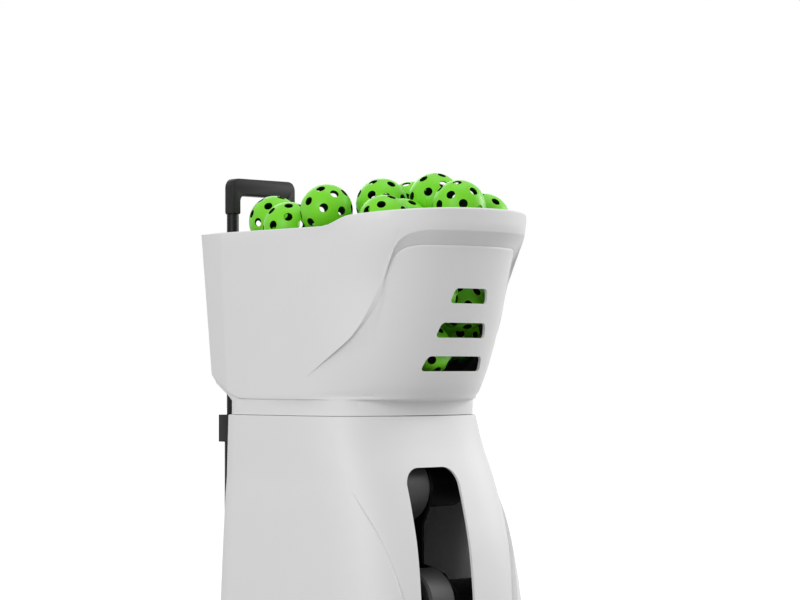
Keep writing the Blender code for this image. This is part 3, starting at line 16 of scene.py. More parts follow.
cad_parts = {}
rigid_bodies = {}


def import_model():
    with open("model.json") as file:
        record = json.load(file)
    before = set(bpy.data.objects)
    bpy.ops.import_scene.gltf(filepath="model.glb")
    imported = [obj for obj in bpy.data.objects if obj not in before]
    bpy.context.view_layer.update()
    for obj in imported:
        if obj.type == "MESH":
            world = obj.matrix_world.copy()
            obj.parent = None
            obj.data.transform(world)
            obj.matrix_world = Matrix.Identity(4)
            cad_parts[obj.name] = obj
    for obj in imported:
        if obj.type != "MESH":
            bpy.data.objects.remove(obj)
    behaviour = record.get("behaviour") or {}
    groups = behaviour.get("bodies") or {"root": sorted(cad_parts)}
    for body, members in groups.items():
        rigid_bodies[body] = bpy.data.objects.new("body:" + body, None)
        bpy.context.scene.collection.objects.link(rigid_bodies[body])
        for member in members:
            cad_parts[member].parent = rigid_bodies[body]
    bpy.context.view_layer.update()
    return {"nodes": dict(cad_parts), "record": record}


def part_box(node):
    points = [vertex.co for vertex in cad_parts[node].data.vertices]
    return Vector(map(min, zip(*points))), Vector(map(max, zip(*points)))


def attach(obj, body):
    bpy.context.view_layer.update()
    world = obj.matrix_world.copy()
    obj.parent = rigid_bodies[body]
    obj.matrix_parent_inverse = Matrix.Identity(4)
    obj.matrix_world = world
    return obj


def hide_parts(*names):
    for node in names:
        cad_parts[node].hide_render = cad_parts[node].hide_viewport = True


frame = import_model()
nodes = frame["nodes"]

# %% [markdown]
# ## The camera
#
# A product picture is taken level, with the machine turned 45 degrees. A camera tilted up would make
# the handle's tubes lean together, so the lens is shifted up instead, as on a view camera. Places are
# measured forward from the plane of those tubes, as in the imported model.

# %% Camera
HANDLE_Y = 0.2195
CAMERA_DISTANCE = 3.8
EYE_HEIGHT = 0.6476
PICTURE_OFFSET = 0.2084
SENSOR_MM, FOCAL_MM = 36.0, 114.57
LENS_SHIFT = 0.08375
FAR_CLIP = 40.0


def fwd(distance):
    """The y coordinate of a place so far forward of the handle's tubes."""
    return HANDLE_Y - distance


def add_object(name, data):
    """A new object that shows some data, linked into the scene."""
    obj = bpy.data.objects.new(name, data)
    bpy.context.scene.collection.objects.link(obj)
    return obj


lens = bpy.data.cameras.new("camera")
lens.sensor_width = SENSOR_MM
lens.lens = FOCAL_MM
lens.shift_y = LENS_SHIFT
lens.clip_end = FAR_CLIP
camera = add_object("camera", lens)
diagonal = math.sqrt(0.5)
camera.location = (
    diagonal * (PICTURE_OFFSET - CAMERA_DISTANCE),
    fwd(diagonal * (PICTURE_OFFSET + CAMERA_DISTANCE)),
    EYE_HEIGHT,
)
camera.rotation_euler = (math.radians(90), 0, math.radians(-45))
bpy.context.scene.camera = camera
print("camera at", [round(v, 3) for v in camera.location])

# %% [markdown]
# ## Materials are built from nodes
#
# A material's nodes could be placed by hand in the shader editor. Built by a script they read like a
# recipe and can be used again. One helper adds a node with its inputs and links, and another turns a
# colour's hex value, which is meant for a screen, into the linear numbers that light needs.

# %% Helpers for materials


def hex_colour(text):
    """A linear colour from an sRGB hex value such as #79E03C."""
    parts = [int(text[i:i + 2], 16) / 255 for i in (1, 3, 5)]
    linear = [c / 12.92 if c <= 0.04045 else ((c + 0.055) / 1.055) ** 2.4 for c in parts]
    return (*linear, 1.0)


def set_inputs(tree, node, inputs):
    """Sets a node's inputs: an output is linked to its input, and anything else is the input's value."""
    for name, value in inputs.items():
        if isinstance(value, bpy.types.NodeSocket):
            tree.links.new(value, node.inputs[name])
        else:
            node.inputs[name].default_value = value


def add_node(tree, kind, inputs=None, **settings):
    """Adds a node with its settings and inputs."""
    made = tree.nodes.new(kind)
    for name, value in settings.items():
        setattr(made, name, value)
    set_inputs(tree, made, inputs or {})
    return made


def new_material(name):
    """An empty material with its Principled BSDF."""
    material = bpy.data.materials.new(name)
    material.use_nodes = True
    print("material:", name)
    return material, material.node_tree, material.node_tree.nodes["Principled BSDF"]


# %% [markdown]
# ## The light
#
# A shop picture has soft light from all round on a pure white ground. A photographed room could give
# it, but an even world and a few soft boxes are easier to steer. The world gives the even part. Where it
# is seen, also in a reflection, it is pure white. As a light it is little more than half of that, so the
# casing keeps its greys.

# %% World
WORLD_LEVEL = 0.57


def seen_directly(tree):
    """1 for rays that show a surface: from the camera, off a shiny surface or through a clear one."""
    path = add_node(tree, "ShaderNodeLightPath")
    seen = path.outputs["Is Camera Ray"]
    for kind in ("Is Glossy Ray", "Is Transmission Ray"):
        either = add_node(tree, "ShaderNodeMath", {0: seen, 1: path.outputs[kind]}, operation="MAXIMUM")
        seen = either.outputs[0]
    return seen


world = bpy.data.worlds.new("studio")
bpy.context.scene.world = world
world.use_nodes = True
sky = world.node_tree
sky.nodes.clear()
level = add_node(sky, "ShaderNodeMapRange", {
    "Value": seen_directly(sky), "To Min": WORLD_LEVEL, "To Max": 1.0})
glow = add_node(sky, "ShaderNodeBackground", {"Color": hex_colour("#FFFFFF"), "Strength": level.outputs[0]})
add_node(sky, "ShaderNodeOutputWorld", {"Surface": glow.outputs[0]})
bpy.context.scene.view_settings.view_transform = "Standard"
print("world:", WORLD_LEVEL, "as light and 1 where it is seen")

# %% [markdown]
# A soft box is a lamp behind a large white cloth, here a square area lamp. The one on the right is the
# strongest, so the front turns brighter towards its right edge, and the one on the left keeps the near
# side a light grey. A weak one overhead lights the balls and the rim, and one lights the rear.

# %% Soft boxes, each with its place, the length of its sides and its power in watts
LIT_PLACE = Vector((0, 0, 0.6))
SOFT_BOXES = {
    "right_box": ((3.2, -1.2, 1.8), 1.6, 62),
    "left_box": ((-3.0, -1.1, 1.8), 1.6, 44),
    "top_box": ((0.2, -0.2, 3.0), 1.2, 8),
    "rear_box": ((1.4, 2.4, 1.8), 1.6, 15)}
for name, (place, side, watts) in SOFT_BOXES.items():
    lamp = bpy.data.lights.new(name, "AREA")
    lamp.size = side
    lamp.energy = watts
    box = add_object(name, lamp)
    box.location = place
    box.rotation_mode = "QUATERNION"
    box.rotation_quaternion = (LIT_PLACE - Vector(place)).to_track_quat("-Z", "Y")
print("soft boxes:", len(SOFT_BOXES))

# %% [markdown]
# ## The floor
#
# The machine stands on a white floor with a soft shadow. White paint would throw so much light back up
# that the casing's undersides lost their shade. So the paint is a matt grey, and a glow lifts it to
# white only for rays that look at it.

# %% Floor
FLOOR_SIZE = 30
FLOOR_LIFT = 0.84


def finished_mesh(bm, name):
    """A new mesh from a bmesh, which is then freed."""
    mesh = bpy.data.meshes.new(name)
    bm.to_mesh(mesh)
    bm.free()
    return mesh


bm = bmesh.new()
bmesh.ops.create_grid(bm, x_segments=1, y_segments=1, size=FLOOR_SIZE)
studio_floor = add_object("studio_floor", finished_mesh(bm, "studio_floor"))
floor_paint, tree, shader = new_material("matt_grey_floor_paint")
lift = add_node(tree, "ShaderNodeMath", {0: seen_directly(tree), 1: FLOOR_LIFT}, operation="MULTIPLY")
set_inputs(tree, shader, {
    "Base Color": hex_colour("#AEAEAE"), "Roughness": 0.9, "Specular IOR Level": 0.1,
    "Emission Color": hex_colour("#FFFFFF"), "Emission Strength": lift.outputs[0]})
studio_floor.data.materials.append(floor_paint)

# %% [markdown]
# ## Moulded ABS, the white casing
#
# The casing is injection-moulded ABS. Its mould is spark-eroded, which leaves a very fine grain of
# about half a millimetre and a satin sheen. A picture of the grain would need an unwrapped surface, and
# a noise in space needs none, so a noise moves the gloss and a shallow bump. A second, much larger and
# weaker noise stands for the slow unevenness of a moulding.

# %% Materials of the casing
PATCH_MM = 71.43
PATCH_SHADE = 0.03
GLOSS_SPREAD = 0.05
GRAIN_STRENGTH = 0.25


def gloss_and_bump(tree, shader, pattern, roughness, spread, strength, height_mm):
    """Lets a pattern make the gloss uneven and raise a bump."""
    gloss = add_node(tree, "ShaderNodeMapRange", {
        "Value": pattern, "To Min": roughness - spread, "To Max": roughness + spread})
    bump = add_node(tree, "ShaderNodeBump", {
        "Height": pattern, "Strength": strength, "Distance": height_mm / 1000})
    set_inputs(tree, shader, {"Roughness": gloss.outputs[0], "Normal": bump.outputs[0]})


def grained_surface(name, colour, roughness, grain_mm, height_mm, ior=1.53, specular=0.5):
    """A moulded, cast or coated surface: an even colour, a fine grain and a slightly uneven gloss."""
    material, tree, shader = new_material(name)
    place = add_node(tree, "ShaderNodeNewGeometry").outputs["Position"]
    grain = add_node(tree, "ShaderNodeTexNoise", {
        "Vector": place, "Scale": 1000 / grain_mm, "Detail": 2.0, "Roughness": 0.6}).outputs["Fac"]
    patches = add_node(tree, "ShaderNodeTexNoise", {
        "Vector": place, "Scale": 1000 / PATCH_MM, "Detail": 3.0}).outputs["Fac"]
    light = hex_colour(colour)
    dark = (*[c * (1 - PATCH_SHADE) for c in light[:3]], 1.0)
    tint = add_node(tree, "ShaderNodeMix", {0: patches, 6: dark, 7: light}, data_type="RGBA")
    gloss_and_bump(tree, shader, grain, roughness, GLOSS_SPREAD, GRAIN_STRENGTH, height_mm)
    set_inputs(tree, shader, {"Base Color": tint.outputs[2], "IOR": ior, "Specular IOR Level": specular})
    return material


white_abs = grained_surface("white_moulded_abs", "#E4E4E4", 0.50, 0.6, 0.03, specular=0.3)
grey_abs = grained_surface("grey_moulded_abs", "#77777A", 0.5, 0.6, 0.04)
button_plastic = grained_surface("grey_button_plastic", "#9A9B9E", 0.4, 0.5, 0.03)

# %% [markdown]
# ## Nylon, rubber and urethane
#
# The handle's grip and brackets and the feed rotor are glass-filled nylon, whose skin is duller than
# that of ABS. The transport tyres and the feet are rubber, duller still. The tyres of the throwing wheels
# are cast polyurethane, with a waxy sheen. A recipe for each would repeat the first, so they share it.

# %% Materials of the tough dark pieces
black_nylon = grained_surface("black_glass_filled_nylon", "#1E1E1E", 0.55, 0.5, 0.06, specular=0.2)
rubber = grained_surface("black_rubber", "#1B1B1B", 0.75, 0.8, 0.08, ior=1.52, specular=0.25)
urethane = grained_surface("grey_cast_polyurethane", "#3A3A3B", 0.5, 0.7, 0.05, ior=1.5, specular=0.35)

# %% [markdown]
# ## Metals
#
# The tubes are drawn aluminium, black anodised: a thin hard oxide with a satin sheen and faint marks
# along the tube. Shafts and bearings are zinc plated, with marks across the machine. A bump alone would
# hardly show the marks, so a stretched noise moves the gloss as well. The launcher frame is steel under
# black powder coat, whose soft orange-peel waviness is the grained recipe with a coarse grain.

# %% Materials of the metal pieces
ALONG_X, ALONG_Z = (0.02, 1.0, 1.0), (1.0, 1.0, 0.02)
LINE_GLOSS_SPREAD = 0.07
LINE_STRENGTH, LINE_HEIGHT_MM = 0.15, 0.03


def drawn_metal(name, colour, roughness, metallic, line_mm, direction):
    """A metal with fine lines from drawing or grinding: a noise that is stretched in their direction."""
    material, tree, shader = new_material(name)
    place = add_node(tree, "ShaderNodeNewGeometry").outputs["Position"]
    scaled = add_node(tree, "ShaderNodeVectorMath", {0: place, 1: direction}, operation="MULTIPLY")
    lines = add_node(tree, "ShaderNodeTexNoise", {
        "Vector": scaled.outputs[0], "Scale": 1000 / line_mm, "Detail": 2.0}).outputs["Fac"]
    gloss_and_bump(tree, shader, lines, roughness, LINE_GLOSS_SPREAD, LINE_STRENGTH, LINE_HEIGHT_MM)
    set_inputs(tree, shader, {"Base Color": hex_colour(colour), "Metallic": metallic})
    return material


anodised = drawn_metal("black_anodised_aluminium", "#1A1A1B", 0.42, 0.8, 0.5, ALONG_Z)
zinc_plate = drawn_metal("zinc_plated_steel", "#B9BCBF", 0.32, 1.0, 0.4, ALONG_X)
powder_coat = grained_surface("black_powder_coated_steel", "#0D0D0D", 0.45, 1.6, 0.05, specular=0.2)

# %% [markdown]
# ## Ball plastic
#
# A pickleball is moulded of a tough, slightly see-through plastic, so light that enters it comes back
# out and its shaded side stays a clear green. A glow of its own would show even in the dark, so a little
# subsurface light does it. The inside, seen through the holes, gets a plain dark green as painted shade.

# %% Materials of the balls
BALL_GRAIN_MM = 0.9

ball_plastic, tree, shader = new_material("green_ball_polyethylene")
place = add_node(tree, "ShaderNodeNewGeometry").outputs["Position"]
grain = add_node(tree, "ShaderNodeTexNoise", {"Vector": place, "Scale": 1000 / BALL_GRAIN_MM, "Detail": 2.0})
bump = add_node(tree, "ShaderNodeBump", {
    "Height": grain.outputs["Fac"], "Strength": 0.2, "Distance": 0.00004})
set_inputs(tree, shader, {
    "Base Color": hex_colour("#79DA26"), "Roughness": 0.38, "IOR": 1.5, "Specular IOR Level": 0.3,
    "Subsurface Weight": 0.25, "Subsurface Radius": (0.004, 0.008, 0.002), "Subsurface Scale": 1.0,
    "Normal": bump.outputs[0]})
# A dark green that paints the shade inside each ball.
painted_shade_inside = grained_surface("green_ball_inside", "#173A0C", 0.7, 0.9, 0.04, ior=1.5, specular=0.1)

# %% [markdown]
# ## Circuit board
#
# The control board is glass-fibre laminate under a green solder mask, through which copper traces show
# paler. It is hardly ever seen, so no trace is drawn: the joints of a brick pattern stand for them.

# %% Material of the control board
TRACE_MM = 16.667

board_mask, tree, shader = new_material("green_solder_mask")
place = add_node(tree, "ShaderNodeNewGeometry").outputs["Position"]
traces = add_node(tree, "ShaderNodeTexBrick", {
    "Vector": place, "Scale": 1000 / TRACE_MM, "Color1": hex_colour("#0E5A2B"),
    "Color2": hex_colour("#117036"), "Mortar": hex_colour("#2E8F55"), "Mortar Size": 0.03})
set_inputs(tree, shader, {"Base Color": traces.outputs["Color"], "Roughness": 0.35})

# %% [markdown]
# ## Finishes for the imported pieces
#
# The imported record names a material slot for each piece. The materials could be assigned one by one,
# but a table that says which finish each slot stands for is shorter, and it misses no piece.

# %% Dress every CAD node in its material
SLOTS = {
    "white_abs": white_abs, "black_nylon": black_nylon, "grey_abs": grey_abs, "zinc_steel": zinc_plate,
    "black_steel": powder_coat, "black_aluminium": anodised, "rubber": rubber, "grey_urethane": urethane,
    "green_plastic": ball_plastic, "circuit_board": board_mask}
slot_of = {row["node"]: row["material_slot"] for row in frame["record"]["subparts"]}
for name, obj in nodes.items():
    obj.data.materials.clear()
    obj.data.materials.append(SLOTS[slot_of[name]])
print("dressed", len(nodes), "nodes")

# %% [markdown]
# ## Soft edges
#
# No moulded or machined edge is perfectly sharp: a radius of a few tenths of a millimetre catches the
# light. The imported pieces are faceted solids, so three modifiers finish them. Weld joins their corners,
# Bevel rounds the edges, and a small node group shades the facets of a curve as one surface.

# %% Node group that shades curves smoothly
FACET_ANGLE = 35

facets = bpy.data.node_groups.new("smooth_by_angle", "GeometryNodeTree")
for direction in ("INPUT", "OUTPUT"):
    facets.interface.new_socket("Geometry", in_out=direction, socket_type="NodeSocketGeometry")
solid = add_node(facets, "NodeGroupInput")
bend = add_node(facets, "GeometryNodeInputMeshEdgeAngle")
sharp_edge = add_node(facets, "FunctionNodeCompare", {
    "A": bend.outputs["Unsigned Angle"], "B": math.radians(FACET_ANGLE)}, operation="GREATER_THAN")
smooth = add_node(facets, "GeometryNodeSetShadeSmooth", {"Geometry": solid.outputs[0]}, domain="FACE")
creased = add_node(facets, "GeometryNodeSetShadeSmooth", {
    "Geometry": smooth.outputs[0], "Selection": sharp_edge.outputs[0], "Shade Smooth": False},
    domain="EDGE")
add_node(facets, "NodeGroupOutput", {"Geometry": creased.outputs[0]})
print("edges stay hard above", FACET_ANGLE, "degrees")

# %% Edge modifiers for the pieces that stay
REPLACED = ("hopper_shell", "body_shell", "ball_pile")
FINE_EDGE = 0.0004
EDGE_RADIUS = {
    "handle_grip": 0.0016, "rear_cover": 0.0012, "upper_bracket": 0.001, "lower_bracket": 0.001,
    "base_tray": 0.001, "battery": 0.0015, "feed_rotor": 0.0008,
    "transport_tyre_left": 0.0015, "transport_tyre_right": 0.0015}


def round_edges(obj, radius, segments, angle):
    """A Bevel modifier that rounds the edges where a piece bends more than an angle in degrees."""
    edges = obj.modifiers.new("edges", "BEVEL")
    edges.width = radius
    edges.segments = segments
    edges.limit_method = "ANGLE"
    edges.angle_limit = math.radians(angle)
    return edges


for name, obj in nodes.items():
    if name not in REPLACED:
        obj.modifiers.new("weld", "WELD").merge_threshold = 1e-6
        round_edges(obj, EDGE_RADIUS.get(name, FINE_EDGE), segments=2, angle=45)
        obj.modifiers.new("facets", "NODES").node_group = facets
print("softened", len(nodes) - len(REPLACED), "nodes")

# %% [markdown]
# ## Plans of the casing
#
# The casing could be sculpted, but its outline is known at every height. Each level is a closed plan: a
# straight rear, a rounded or angled corner, a nearly straight side and a front that is a superellipse.
# Every plan has as many points, so the levels join into one smooth grid that flows round the casing.

# %% Values that change smoothly


def between(low, high, share):
    """The value that lies a share of the way from one value to another."""
    return low + (high - low) * share


def even_steps(start, end, count):
    """Values from start to end in a count of even steps."""
    return [start + (end - start) * i / count for i in range(count + 1)]


def smoothstep(low, high, value):
    """0 below low, 1 above high, and a soft rise between them."""
    t = min(1.0, max(0.0, (value - low) / (high - low)))
    return t * t * (3 - 2 * t)


def along(stations, z):
    """A smooth value through stations of (height, value), by Hermite curves with limited slopes."""
    if z <= stations[0][0]:
        return stations[0][1]
    if z >= stations[-1][0]:
        return stations[-1][1]
    slopes = [(b[1] - a[1]) / (b[0] - a[0]) for a, b in zip(stations, stations[1:])]
    tangents = [slopes[0]]
    for left, right in zip(slopes, slopes[1:]):
        tangents.append(2 * left * right / (left + right) if left * right > 0 else 0.0)
    tangents.append(slopes[-1])
    for i, ((z0, v0), (z1, v1)) in enumerate(zip(stations, stations[1:])):
        if z <= z1:
            h = z1 - z0
            t = (z - z0) / h
            return (v0 * (1 + 2 * t) * (1 - t) ** 2 + v1 * t * t * (3 - 2 * t)
                    + h * tangents[i] * t * (1 - t) ** 2 - h * tangents[i + 1] * t * t * (1 - t))


# %% Half a plan, from the middle of the rear to the middle of the front
CORNER_STEPS, CREASE_STEPS = 6, 3
REAR_STEPS, CHAMFER_STEPS, SIDE_STEPS, ARC_STEPS = 7, 5, 16, 72
CORNER_SHARE = 0.45
EVEN_ANGLES = even_steps(0, math.pi / 2, ARC_STEPS)


def rounded_corner(before, corner, after, radius, steps):
    """Points of a soft corner between two straight stretches."""
    a, c, b = Vector(before), Vector(corner), Vector(after)
    start = c + (a - c).normalized() * min(radius, (a - c).length * CORNER_SHARE)
    end = c + (b - c).normalized() * min(radius, (b - c).length * CORNER_SHARE)
    return [tuple(start * (1 - t) ** 2 + c * 2 * t * (1 - t) + end * t * t)
            for t in even_steps(0, 1, steps)]


def straight(start, end, steps):
    """Points strictly between two points."""
    return [tuple(Vector(start).lerp(Vector(end), i / steps)) for i in range(1, steps)]


def front_arc(front, length, half, roundness, angles):
    """Points of a superellipse front at the given angles from the side."""
    return [(half * math.cos(a) ** (2 / roundness) if a < math.pi / 2 else 0.0,
             front - length + length * math.sin(a) ** (2 / roundness)) for a in angles]


def half_plan(rear, corner, crease, half, front, length, roundness, angles, corner_radius,
              crease_radius=0.020):
    """Half of a plan as (across, forward) points; corner and crease are where the rear and side bend."""
    side_end = (half, front - length)
    first = rounded_corner((0, rear), corner, crease, corner_radius, CORNER_STEPS)
    second = rounded_corner(corner, crease, side_end, crease_radius, CREASE_STEPS)
    points = [(0.0, rear)] + straight((0, rear), first[0], REAR_STEPS) + first
    points += straight(first[-1], second[0], CHAMFER_STEPS) + second
    points += straight(second[-1], side_end, SIDE_STEPS)
    return points + front_arc(front, length, half, roundness, angles)


# %% [markdown]
# ## The hopper
#
# The hopper is a bucket on a narrow neck, with a raised band round its top. The band runs down each side
# in a long S curve, and in front of the curve the bowl is set back. One plan can't hold both, so each
# height has one of the band and one of the bowl, and the neck has its own. Stations give the front's
# reach, length and roundness at a few heights, and smooth curves run through them.

# %% Hopper sizes, as (height, value) where they change with the height
WALL = 0.004
SEAM_Z = 0.580
NECK_TOP_Z = 0.603
UNDERSIDE_Z = 0.604
LEDGE_TOP_Z = 0.832
RIM_REAR_Z = 0.840
NECK_HALF, NECK_REAR, NECK_FRONT, NECK_ROUNDNESS = 0.147, 0.081, 0.351, 2.9
SIDE_BEND = 0.080
ARC_SHARE = 0.8
REAR_CORNER = 0.053
HOPPER_REAR_TOP, HOPPER_REAR_SLOPE = 0.0125, 0.115
HOPPER_CORNER, HOPPER_CREASE = 0.010, 0.005
REAR_CORNER_X = 0.130
CREASE_X_BOTTOM, CREASE_X_TOP = 0.148, 0.144
CREASE_FORWARD_BOTTOM, CREASE_FORWARD_TOP = 0.093, 0.075
SIDE_HALF_BOTTOM, SIDE_HALF_TOP = 0.152, 0.158
BAND_FRONT = (
    (0.600, 0.405), (0.625, 0.418), (0.649, 0.4285), (0.6746, 0.4325), (0.7084, 0.4330), (0.730, 0.4340),
    (0.7595, 0.4375), (0.790, 0.449), (0.815, 0.4615), (0.832, 0.4675), (0.8432, 0.4697), (0.860, 0.4708))
BAND_ARC = 0.155
BAND_ROUNDNESS = 2.25
BOWL_FRONT = (
    (0.600, 0.380), (0.622, 0.3925), (0.650, 0.4055), (0.700, 0.422), (0.745, 0.434), (0.815, 0.450),
    (0.833, 0.456))
BOWL_ARC = ((0.600, 0.170), (0.650, 0.154), (0.700, 0.143), (0.745, 0.140), (0.833, 0.142))
BOWL_ROUNDNESS = ((0.604, 2.25), (0.680, 2.10), (0.745, 2.04), (0.815, 2.15), (0.833, 2.2))
BOWL_SET_BACK = 0.002


def hopper_half(z, band, offset):
    """Half plan of the hopper's band and sides, or of its bowl."""
    share = (z - UNDERSIDE_Z) / (RIM_REAR_Z - UNDERSIDE_Z)
    rear = HOPPER_REAR_TOP + (RIM_REAR_Z - z) * HOPPER_REAR_SLOPE - offset
    crease = (between(CREASE_X_BOTTOM, CREASE_X_TOP, share) + offset,
              between(CREASE_FORWARD_BOTTOM, CREASE_FORWARD_TOP, share))
    half = between(SIDE_HALF_BOTTOM, SIDE_HALF_TOP, share) + offset
    if band:
        front, length, roundness = along(BAND_FRONT, z) + offset, BAND_ARC, BAND_ROUNDNESS
    else:
        front, length, roundness = along(BOWL_FRONT, z) + offset, along(BOWL_ARC, z), along(BOWL_ROUNDNESS, z)
        half -= BOWL_SET_BACK
    return half_plan(rear, (REAR_CORNER_X + offset, rear), crease, half, front, length, roundness,
                     EVEN_ANGLES, HOPPER_CORNER, HOPPER_CREASE)


def round_cornered_half(half, rear, front, roundness, angles):
    """Half plan of the neck or the body: a straight rear, a wide round corner and a straight side."""
    return half_plan(rear, (half, rear), (half, rear + SIDE_BEND), half, front, ARC_SHARE * half, roundness,
                     angles, REAR_CORNER)


def neck_half(offset):
    """Half plan of the neck under the hopper."""
    return round_cornered_half(NECK_HALF + offset, NECK_REAR - offset, NECK_FRONT + offset, NECK_ROUNDNESS,
                               EVEN_ANGLES)


column_count = len(neck_half(0))
print("points in half a plan:", column_count)

# %% [markdown]
# ## The hopper's edges
#
# Three edges cross the hopper's grid: the underside, the rim and the S curve. A cut along them would
# leave jagged facets. So the grid's rows follow them: in each column the edge lies on the same row,
# which keeps it crisp with few faces. A search by halves finds where a column meets the S curve.

# %% Heights of the edges
FRONT_REACH = 0.471
RIM_STEP_Z = 0.854
RIM_FRONT_Z = 0.864
RIM_STEP_START, RIM_STEP_END = 0.300, 0.358
RIM_RISE_START = 0.355
UNDERSIDE_RISE_FORWARD, UNDERSIDE_RISE_SLOPE = 0.110, 0.38
HALVINGS = 24
S_CURVE = (
    (0.235, 0.600), (0.254, 0.6256), (0.290, 0.649), (0.3274, 0.6746), (0.3448, 0.6895), (0.3585, 0.7084),
    (0.3698, 0.730), (0.3835, 0.7595), (0.3984, 0.790), (0.4127, 0.815), (0.4275, 0.827),
    (0.4440, LEDGE_TOP_Z), (0.4600, 0.8345))


def underside_z(forward):
    """Height of the hopper's underside, which rises towards the rear."""
    return UNDERSIDE_Z + max(0.0, UNDERSIDE_RISE_FORWARD - forward) * UNDERSIDE_RISE_SLOPE


def rim_z(forward):
    """Height of the rim: level at the rear, a soft step up, then a slow rise to the front."""
    ahead = max(0.0, forward - RIM_RISE_START) / (FRONT_REACH - RIM_RISE_START)
    return (RIM_REAR_Z + (RIM_STEP_Z - RIM_REAR_Z) * smoothstep(RIM_STEP_START, RIM_STEP_END, forward)
            + (RIM_FRONT_Z - RIM_STEP_Z) * ahead)


def shelf_z(column):
    """Height at which a column of the band meets the S curve."""
    low, high = UNDERSIDE_Z, LEDGE_TOP_Z
    for _ in range(HALVINGS):
        middle = (low + high) / 2
        if along(S_CURVE, hopper_half(middle, True, 0)[column][1]) > middle:
            low = middle
        else:
            high = middle
    return (low + high) / 2


print("S curve at the middle column:", round(shelf_z(column_count // 2), 3), "m")

# %% [markdown]
# ## The shelf under the S curve
#
# Below the S curve the wall steps back to the bowl over a soft shelf: a steep chamfer, then a hollow
# fillet. A Bevel modifier would make it even, but the real lip is broad at the top and fades out at the
# foot. So each point of the wall is a mix of the band's plan and the bowl's, and a formula gives the
# share of each. A shallow groove makes the inner corner crisp at the top.

# %% Points of the wall
BOWL_START, BOWL_END = 0.225, 0.365
CHAMFER_FOOT, CHAMFER_GAIN = 0.005, 0.014
FILLET_FOOT, FILLET_GAIN = 0.014, 0.010
CORNER_FOOT, CORNER_TOP = 0.30, 0.02
CORNER_LOW, CORNER_HIGH = 0.70, 0.97
GROOVE_SHARE, GROOVE_START, GROOVE_END = 0.08, 0.94, 0.09
SLOPE_STEP = 0.002

plans = {}


def hopper_point(column, z, band, offset):
    """A point of the hopper's plan, with plans kept for heights that come up again."""
    key = (round(z, 5), band, offset)
    if key not in plans:
        plans[key] = hopper_half(z, band, offset)
    return plans[key][column]


def mixed(one, two, share):
    """The point that lies a share of the way from one point to another."""
    return (between(one[0], two[0], share), between(one[1], two[1], share))


def bowl_point(column, z, offset):
    """A point of the set-back bowl; behind the S curve's start it is the side itself."""
    band = hopper_point(column, z, True, offset)
    bowl = hopper_point(column, z, False, offset)
    return mixed(band, bowl, smoothstep(BOWL_START, BOWL_END, band[1]))


def shelf_runs(column, high, room):
    """How far the chamfer and the fillet run down a column, and the step that is left between them."""
    forward = hopper_point(column, high, True, 0)[1]
    rise = along(S_CURVE, forward + SLOPE_STEP) - along(S_CURVE, forward - SLOPE_STEP)
    steep = math.hypot(1, rise / (2 * SLOPE_STEP))
    share = (high - UNDERSIDE_Z) / (LEDGE_TOP_Z - UNDERSIDE_Z)
    chamfer = (CHAMFER_FOOT + CHAMFER_GAIN * share ** 4) * steep
    fillet = (FILLET_FOOT + FILLET_GAIN * share) * steep
    fit = min(1.0, room / (chamfer + fillet))
    corner = between(CORNER_FOOT, CORNER_TOP, smoothstep(CORNER_LOW, CORNER_HIGH, share))
    return chamfer * fit, fillet * fit, corner


def wall_point(column, z, high, runs, offset):
    """A point of the wall: the band above the curve, the bowl below it, and the shelf between them."""
    down = high - z
    chamfer, fillet, corner = runs
    groove = GROOVE_SHARE * (1 - corner / CORNER_FOOT)
    if down <= 0:
        return hopper_point(column, z, True, offset)
    if down <= chamfer:
        t = down / chamfer
        share = 1 - (1 - corner) * t - groove * max(0.0, (t - GROOVE_START) / (1 - GROOVE_START))
    else:
        t = (down - chamfer) / fillet
        share = corner * max(0.0, 1 - t) ** 2 - groove * max(0.0, 1 - t / GROOVE_END)
    bowl = bowl_point(column, z, offset)
    if abs(share) < 1e-6:
        return bowl
    return mixed(bowl, hopper_point(column, z, True, offset), share)


# %% [markdown]
# ## The hopper's wall
#
# A moulding has a wall of even thickness, here 4 mm, with a rounded rim. A Solidify modifier could make
# the thickness, but not the round rim. So each column is a whole ring: up the outside of the neck, out
# under the hopper, up the wall with rows close together at the shelf, over the rim in an arc, and down
# the inside. Mirrored, the columns make the whole hopper.

# %% Columns of the hopper
SEAM_PLAY, NECK_LOW, NECK_HIGH = 0.0004, 0.010, 0.003
NECK_SHARES = (0.25, 0.55, 0.85)
FLARE_Z, FLARE_DROP = NECK_TOP_Z - 0.0015, 0.0005
FOOT_ROWS = ((0.90, 0.0004), (0.95, 0.0014), (0.985, 0.0036))
FOOT_HEIGHT = 0.008
SHELF_LEAST = 0.030
EDGE_ROWS = (0.02, 0.06, 0.14, 0.30, 0.50, 0.70, 0.86, 0.95, 1.0)
FILLET_ROWS = (0.04, 0.09, 0.16, 0.30, 0.48, 0.70, 1.0)
INSIDE_EDGE_ROWS, INSIDE_FILLET_ROWS = (0.0, 0.5, 1.0), (0.3, 0.65, 1.0)
ROWS_BELOW, ROWS_ABOVE, ROWS_INSIDE = 10, 12, 8
BAND_ROW, BAND_START = 0.0012, 0.0035
RIM_PLAN_Z = RIM_REAR_Z + 0.010
RIM_ROUND = 0.0022
RIM_ANGLES = range(18, 180, 18)
INSIDE_FOOT, INSIDE_FLOOR = 0.003, 0.0035


